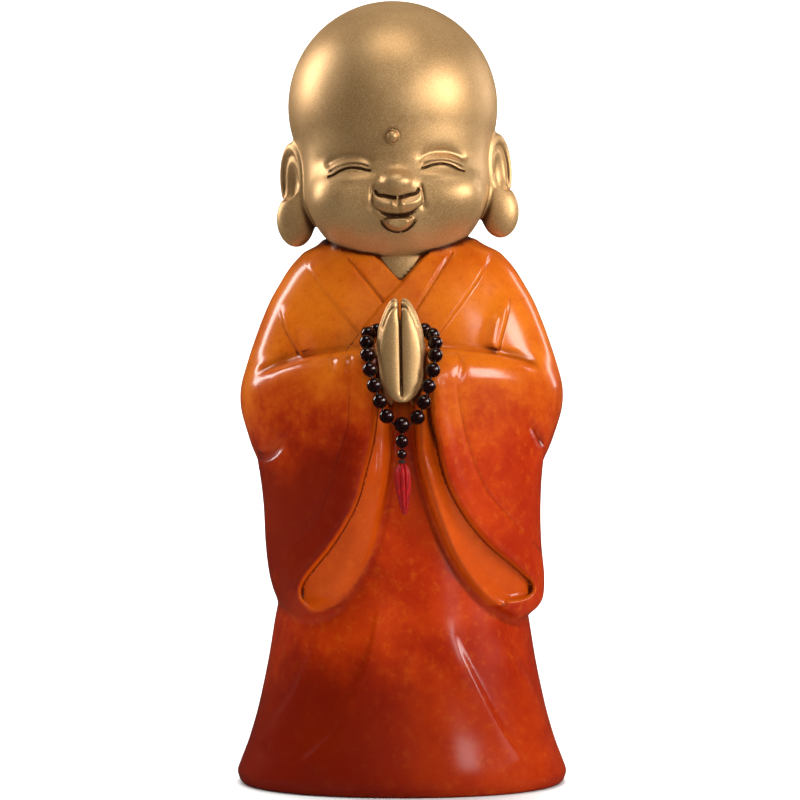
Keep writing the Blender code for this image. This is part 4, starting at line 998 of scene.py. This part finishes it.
class Nodes:
    """Short hand for building one material's node tree."""

    def __init__(self, name):
        self.material = bpy.data.materials.new(name)
        self.material.use_nodes = True
        self.tree = self.material.node_tree
        self.shader = self.tree.nodes["Principled BSDF"]

    def add(self, kind, sockets=()):
        """New node with values or links on its sockets, given by name or number."""
        node = self.tree.nodes.new(kind)
        for key, value in dict(sockets).items():
            self.give(node.inputs[key], value)
        return node

    def give(self, socket, value):
        if isinstance(value, bpy.types.NodeSocket):
            self.tree.links.new(value, socket)
        else:
            socket.default_value = value

    def surface(self, tone, roughness, **fixed):
        """Colour and roughness of the surface, and what is the same all over it."""
        self.give(self.shader.inputs["Base Color"], tone)
        self.give(self.shader.inputs["Roughness"], roughness)
        for key, value in fixed.items():
            self.shader.inputs[key.replace("_", " ")].default_value = value

    def spots(self):
        return self.add("ShaderNodeTexCoord").outputs["Object"]

    def noise(self, scale, detail, roughness=0.5, vector=None):
        sockets = {"Scale": scale, "Detail": detail, "Roughness": roughness, "Vector": vector or self.spots()}
        return self.add("ShaderNodeTexNoise", sockets).outputs["Fac"]

    def math(self, operation, first, second=0.0):
        node = self.add("ShaderNodeMath", {0: first, 1: second})
        node.operation = operation
        return node.outputs[0]

    def times(self, first, second):
        return self.math("MULTIPLY", first, second)

    def ramp(self, value, low, high):
        """0 at low, 1 at high, smooth between."""
        node = self.add("ShaderNodeMapRange", {"Value": value, "From Min": low, "From Max": high})
        node.interpolation_type = "SMOOTHSTEP"
        return node.outputs["Result"]

    def span(self, value, low, high, first, last):
        """Straight line from first at low to last at high."""
        sockets = {"Value": value, "From Min": low, "From Max": high, "To Min": first, "To Max": last}
        return self.add("ShaderNodeMapRange", sockets).outputs["Result"]

    def mix(self, share, first, second):
        """Mixture of two colours, each a socket or red, green and blue."""
        node = self.tree.nodes.new("ShaderNodeMix")
        node.data_type = "RGBA"
        self.give(node.inputs[0], share)
        for number, colour in ((6, first), (7, second)):
            self.give(node.inputs[number], (*colour, 1.0) if isinstance(colour, tuple) else colour)
        return node.outputs[2]

    def cover(self, tone, *layers):
        """Tone with colours laid over it, each as its value rises from low to high, at most this strongly."""
        for value, low, high, weight, colour in layers:
            tone = self.mix(self.times(self.ramp(value, low, high), weight), tone, colour)
        return tone

    def attribute(self, name):
        node = self.add("ShaderNodeAttribute")
        node.attribute_name = name
        return node.outputs["Fac"]

    def bump(self, height, strength, distance):
        sockets = {"Strength": strength, "Distance": distance, "Height": height}
        self.give(self.shader.inputs["Normal"], self.add("ShaderNodeBump", sockets).outputs["Normal"])


def robe_material():
    """Orange-brown lacquer, light at the top, dark on the lower left, on the skirt and in the folds: partly
    airbrushed paint and antique wash, partly painted shade.
    """
    n = Nodes("robe_lacquer")
    lining = n.attribute("lining")
    clouds = n.noise(26.0, 7.0, 0.66)
    blots = n.noise(230.0, 6.0, 0.70)
    grain = n.noise(1300.0, 3.0, 0.6)
    x, y, z = n.add("ShaderNodeSeparateXYZ", {0: n.spots()}).outputs
    drift = n.span(clouds, 0.3, 0.7, -0.012, 0.012)
    height = n.math("ADD", z, drift)
    # Darker lower left (front only) and lower skirt, more to the left: partly airbrushed paint, partly
    # painted shade
    low_left = n.times(n.ramp(n.math("ADD", x, drift), 0.0, -0.034), n.ramp(height, 0.178, 0.145))
    for limit in (n.math("SUBTRACT", 1.0, lining), n.ramp(height, 0.07, 0.10),
                  n.ramp(n.math("ADD", y, drift), 0.030, -0.020)):
        low_left = n.times(low_left, limit)
    skirt = n.times(n.ramp(height, 0.090, 0.035), n.span(x, -0.02, 0.04, 0.95, 0.25))
    shade = n.math("MAXIMUM", n.times(low_left, 0.9), skirt)
    cloudy = n.ramp(clouds, 0.36, 0.66)
    low = n.mix(cloudy, (0.29, 0.013, 0.0004), (0.40, 0.030, 0.0008))
    high = n.mix(cloudy, (0.46, 0.075, 0.003), (0.58, 0.135, 0.006))
    tone = n.cover(n.mix(n.ramp(height, 0.155, 0.205), low, high),
                   (blots, 0.50, 0.70, 0.28, (0.56, 0.115, 0.004)),
                   (blots, 0.48, 0.30, 0.30, (0.26, 0.016, 0.0005)),
                   (grain, 0.50, 0.72, 0.22, (0.20, 0.012, 0.0004)),
                   (n.attribute("ridge"), 0.20, 0.6, 0.30, (0.66, 0.16, 0.006)))
    # Lays that darker red over the tone: partly airbrushed paint, partly painted shade
    tone = n.mix(n.times(shade, 0.90), tone, (0.115, 0.004, 0.0002))
    tone = n.mix(n.times(lining, 0.35), tone, (0.62, 0.11, 0.004))
    # Darker in hollows and narrow grooves: partly the antique wash, partly painted shade
    tone = n.cover(tone,
                   (n.attribute("hollow"), 0.22, 0.75, 0.80, (0.07, 0.006, 0.0003)),
                   (n.attribute("groove"), 0.14, 0.45, 0.75, (0.05, 0.004, 0.0003)))
    n.surface(tone, n.span(blots, 0.3, 0.7, 0.34, 0.46), Specular_IOR_Level=0.02, Coat_Weight=0.6,
              Coat_Roughness=0.18)
    n.bump(n.math("ADD", n.times(blots, 0.8), n.times(grain, 0.2)), 0.12, 0.0005)
    return n.material


def gold_material():
    """Satin gold paint with fine metal grain, and brown in the recesses: partly the antique wash, partly
    painted shade.
    """
    n = Nodes("gold_paint")
    grain = n.noise(1700.0, 3.0, 0.7)
    # Brown in hollows and grooves: partly the antique wash, partly painted shade
    tone = n.cover(n.mix(n.ramp(n.noise(40.0, 4.0), 0.35, 0.65), (0.50, 0.280, 0.105), (0.58, 0.340, 0.138)),
                   (grain, 0.45, 0.70, 0.55, (0.80, 0.56, 0.30)),
                   (grain, 0.44, 0.30, 0.35, (0.20, 0.085, 0.025)),
                   (n.attribute("hollow"), 0.16, 0.60, 0.85, (0.09, 0.030, 0.007)),
                   (n.attribute("groove"), 0.22, 0.70, 0.70, (0.06, 0.020, 0.005)))
    n.surface(tone, n.span(grain, 0.3, 0.7, 0.38, 0.52), Metallic=0.69)
    n.bump(grain, 0.22, 0.0003)
    return n.material


def bead_gloss():
    """Polished black-red bead."""
    n = Nodes("bead_gloss")
    veins = n.noise(260.0, 4.0, 0.6)
    tone = n.mix(n.ramp(veins, 0.40, 0.70), (0.004, 0.001, 0.001), (0.022, 0.003, 0.003))
    n.surface(tone, n.span(veins, 0.3, 0.7, 0.08, 0.16))
    return n.material


def thread_fibre():
    """Dark twisted cord."""
    n = Nodes("dark_thread")
    fibres = n.noise(2200.0, 3.0, 0.6)
    n.surface(n.mix(n.ramp(fibres, 0.35, 0.65), (0.006, 0.004, 0.004), (0.035, 0.018, 0.016)), 0.75)
    n.bump(fibres, 0.5, 0.0002)
    return n.material


def tassel_paint():
    """Satin red with fine lengthwise strands."""
    n = Nodes("tassel_red")
    stretch = n.add("ShaderNodeMapping", {"Vector": n.spots(), "Scale": (1.0, 1.0, 0.06)})
    strands = n.noise(2600.0, 4.0, 0.6, stretch.outputs["Vector"])
    tone = n.mix(n.ramp(strands, 0.35, 0.68), (0.16, 0.0008, 0.001), (0.42, 0.002, 0.003))
    n.surface(tone, 0.42, Specular_IOR_Level=0.25)
    n.bump(strands, 0.35, 0.0003)
    return n.material


def paper_material():
    """Pale paper with hardly any pattern."""
    n = Nodes("pale_paper")
    n.surface(n.mix(n.ramp(n.noise(9.0, 3.0), 0.3, 0.7), (0.80, 0.80, 0.79), (0.82, 0.82, 0.81)), 0.6)
    return n.material


def make_stage():
    """Pale paper sweep: a level floor that curves up into a backdrop far behind the figure."""
    profile = [(-SWEEP_HALF, 0.0), (SWEEP_START, 0.0)]
    for step in range(1, SWEEP_PARTS + 1):
        turn = 0.5 * math.pi * step / SWEEP_PARTS
        profile.append((SWEEP_START + SWEEP_RADIUS * math.sin(turn), SWEEP_RADIUS * (1.0 - math.cos(turn))))
    profile.append((SWEEP_START + SWEEP_RADIUS, SWEEP_HALF))
    corners = [(x, y, z) for y, z in profile for x in (-SWEEP_HALF, SWEEP_HALF)]
    faces = [(2 * i, 2 * i + 1, 2 * i + 3, 2 * i + 2) for i in range(len(profile) - 1)]
    mesh = smooth_mesh("studio_sweep", corners, faces)
    mesh.materials.append(paper_material())
    sheet = add_object("studio_sweep", mesh)
    sheet.visible_glossy = False


def make_lights():
    for name, place, aim, size, power, reflected in LAMPS:
        light = bpy.data.lights.new(name, "AREA")
        light.shape = "RECTANGLE"
        light.size, light.size_y = size
        light.energy = power
        lamp = add_object(name, light)
        lamp.location = place
        lamp.rotation_euler = (Vector(aim) - lamp.location).to_track_quat("-Z", "Y").to_euler()
        lamp.visible_glossy = reflected
    bpy.context.scene.view_settings.view_transform = "Standard"
    world = bpy.data.worlds.new("studio")
    bpy.context.scene.world = world
    world.use_nodes = True
    ground = world.node_tree.nodes["Background"]
    ground.inputs["Color"].default_value = (1.0, 0.98, 0.95, 1.0)
    ground.inputs["Strength"].default_value = 0.03


def make_camera():
    camera = bpy.data.cameras.new("photo_camera")
    camera.sensor_width = 36.0
    camera.lens = CAMERA_PIXELS / IMAGE_SIDE * camera.sensor_width
    camera.clip_end = 20.0
    view = add_object("photo_camera", camera)
    view.location = Vector(CAMERA_SPOT) * SHARE + Vector(MODEL_SHIFT)
    view.rotation_euler = (0.5 * math.pi, 0.0, 0.0)
    bpy.context.scene.camera = view


# Robe, head and hands: name, field, corners of the box searched, grid step, margin, passes that split the
# mesh (turn from which an edge is split, reach round the carved lines) and the spots near those lines
SKINS = (
    ("robe", robe, (-84.0, -72.0, -3.0), (84.0, 66.0, 266.0), ROBE_STEP, 7.0, ((0.040, 1.6), (0.090, 0.9)),
     carved_on_robe),
    ("head", head_and_neck, (-68.0, -62.0, 222.0), (66.0, 66.0, 373.0), HEAD_STEP, 3.0,
     ((0.018, 1.6), (0.030, 1.2), (9.0, 0.7)), carved_on_head),
    ("hands", hands, (-22.0, -74.0, 172.0), (22.0, -30.0, 232.0), HANDS_STEP, 3.0, ((0.02, 0.0),),
     carved_nowhere),
)


def main():
    make_camera()
    make_stage()
    make_lights()
    gold = gold_material()
    for shape, material in zip(SKINS, (robe_material(), gold, gold)):
        skin = skin_object(*shape)
        skin.data.materials.append(material)
        settle(skin, "monk_figure")
    fibre = thread_fibre()
    gloss = bead_gloss()
    make_beads(gloss, fibre)
    make_drop(gloss, fibre, tassel_paint())


main()
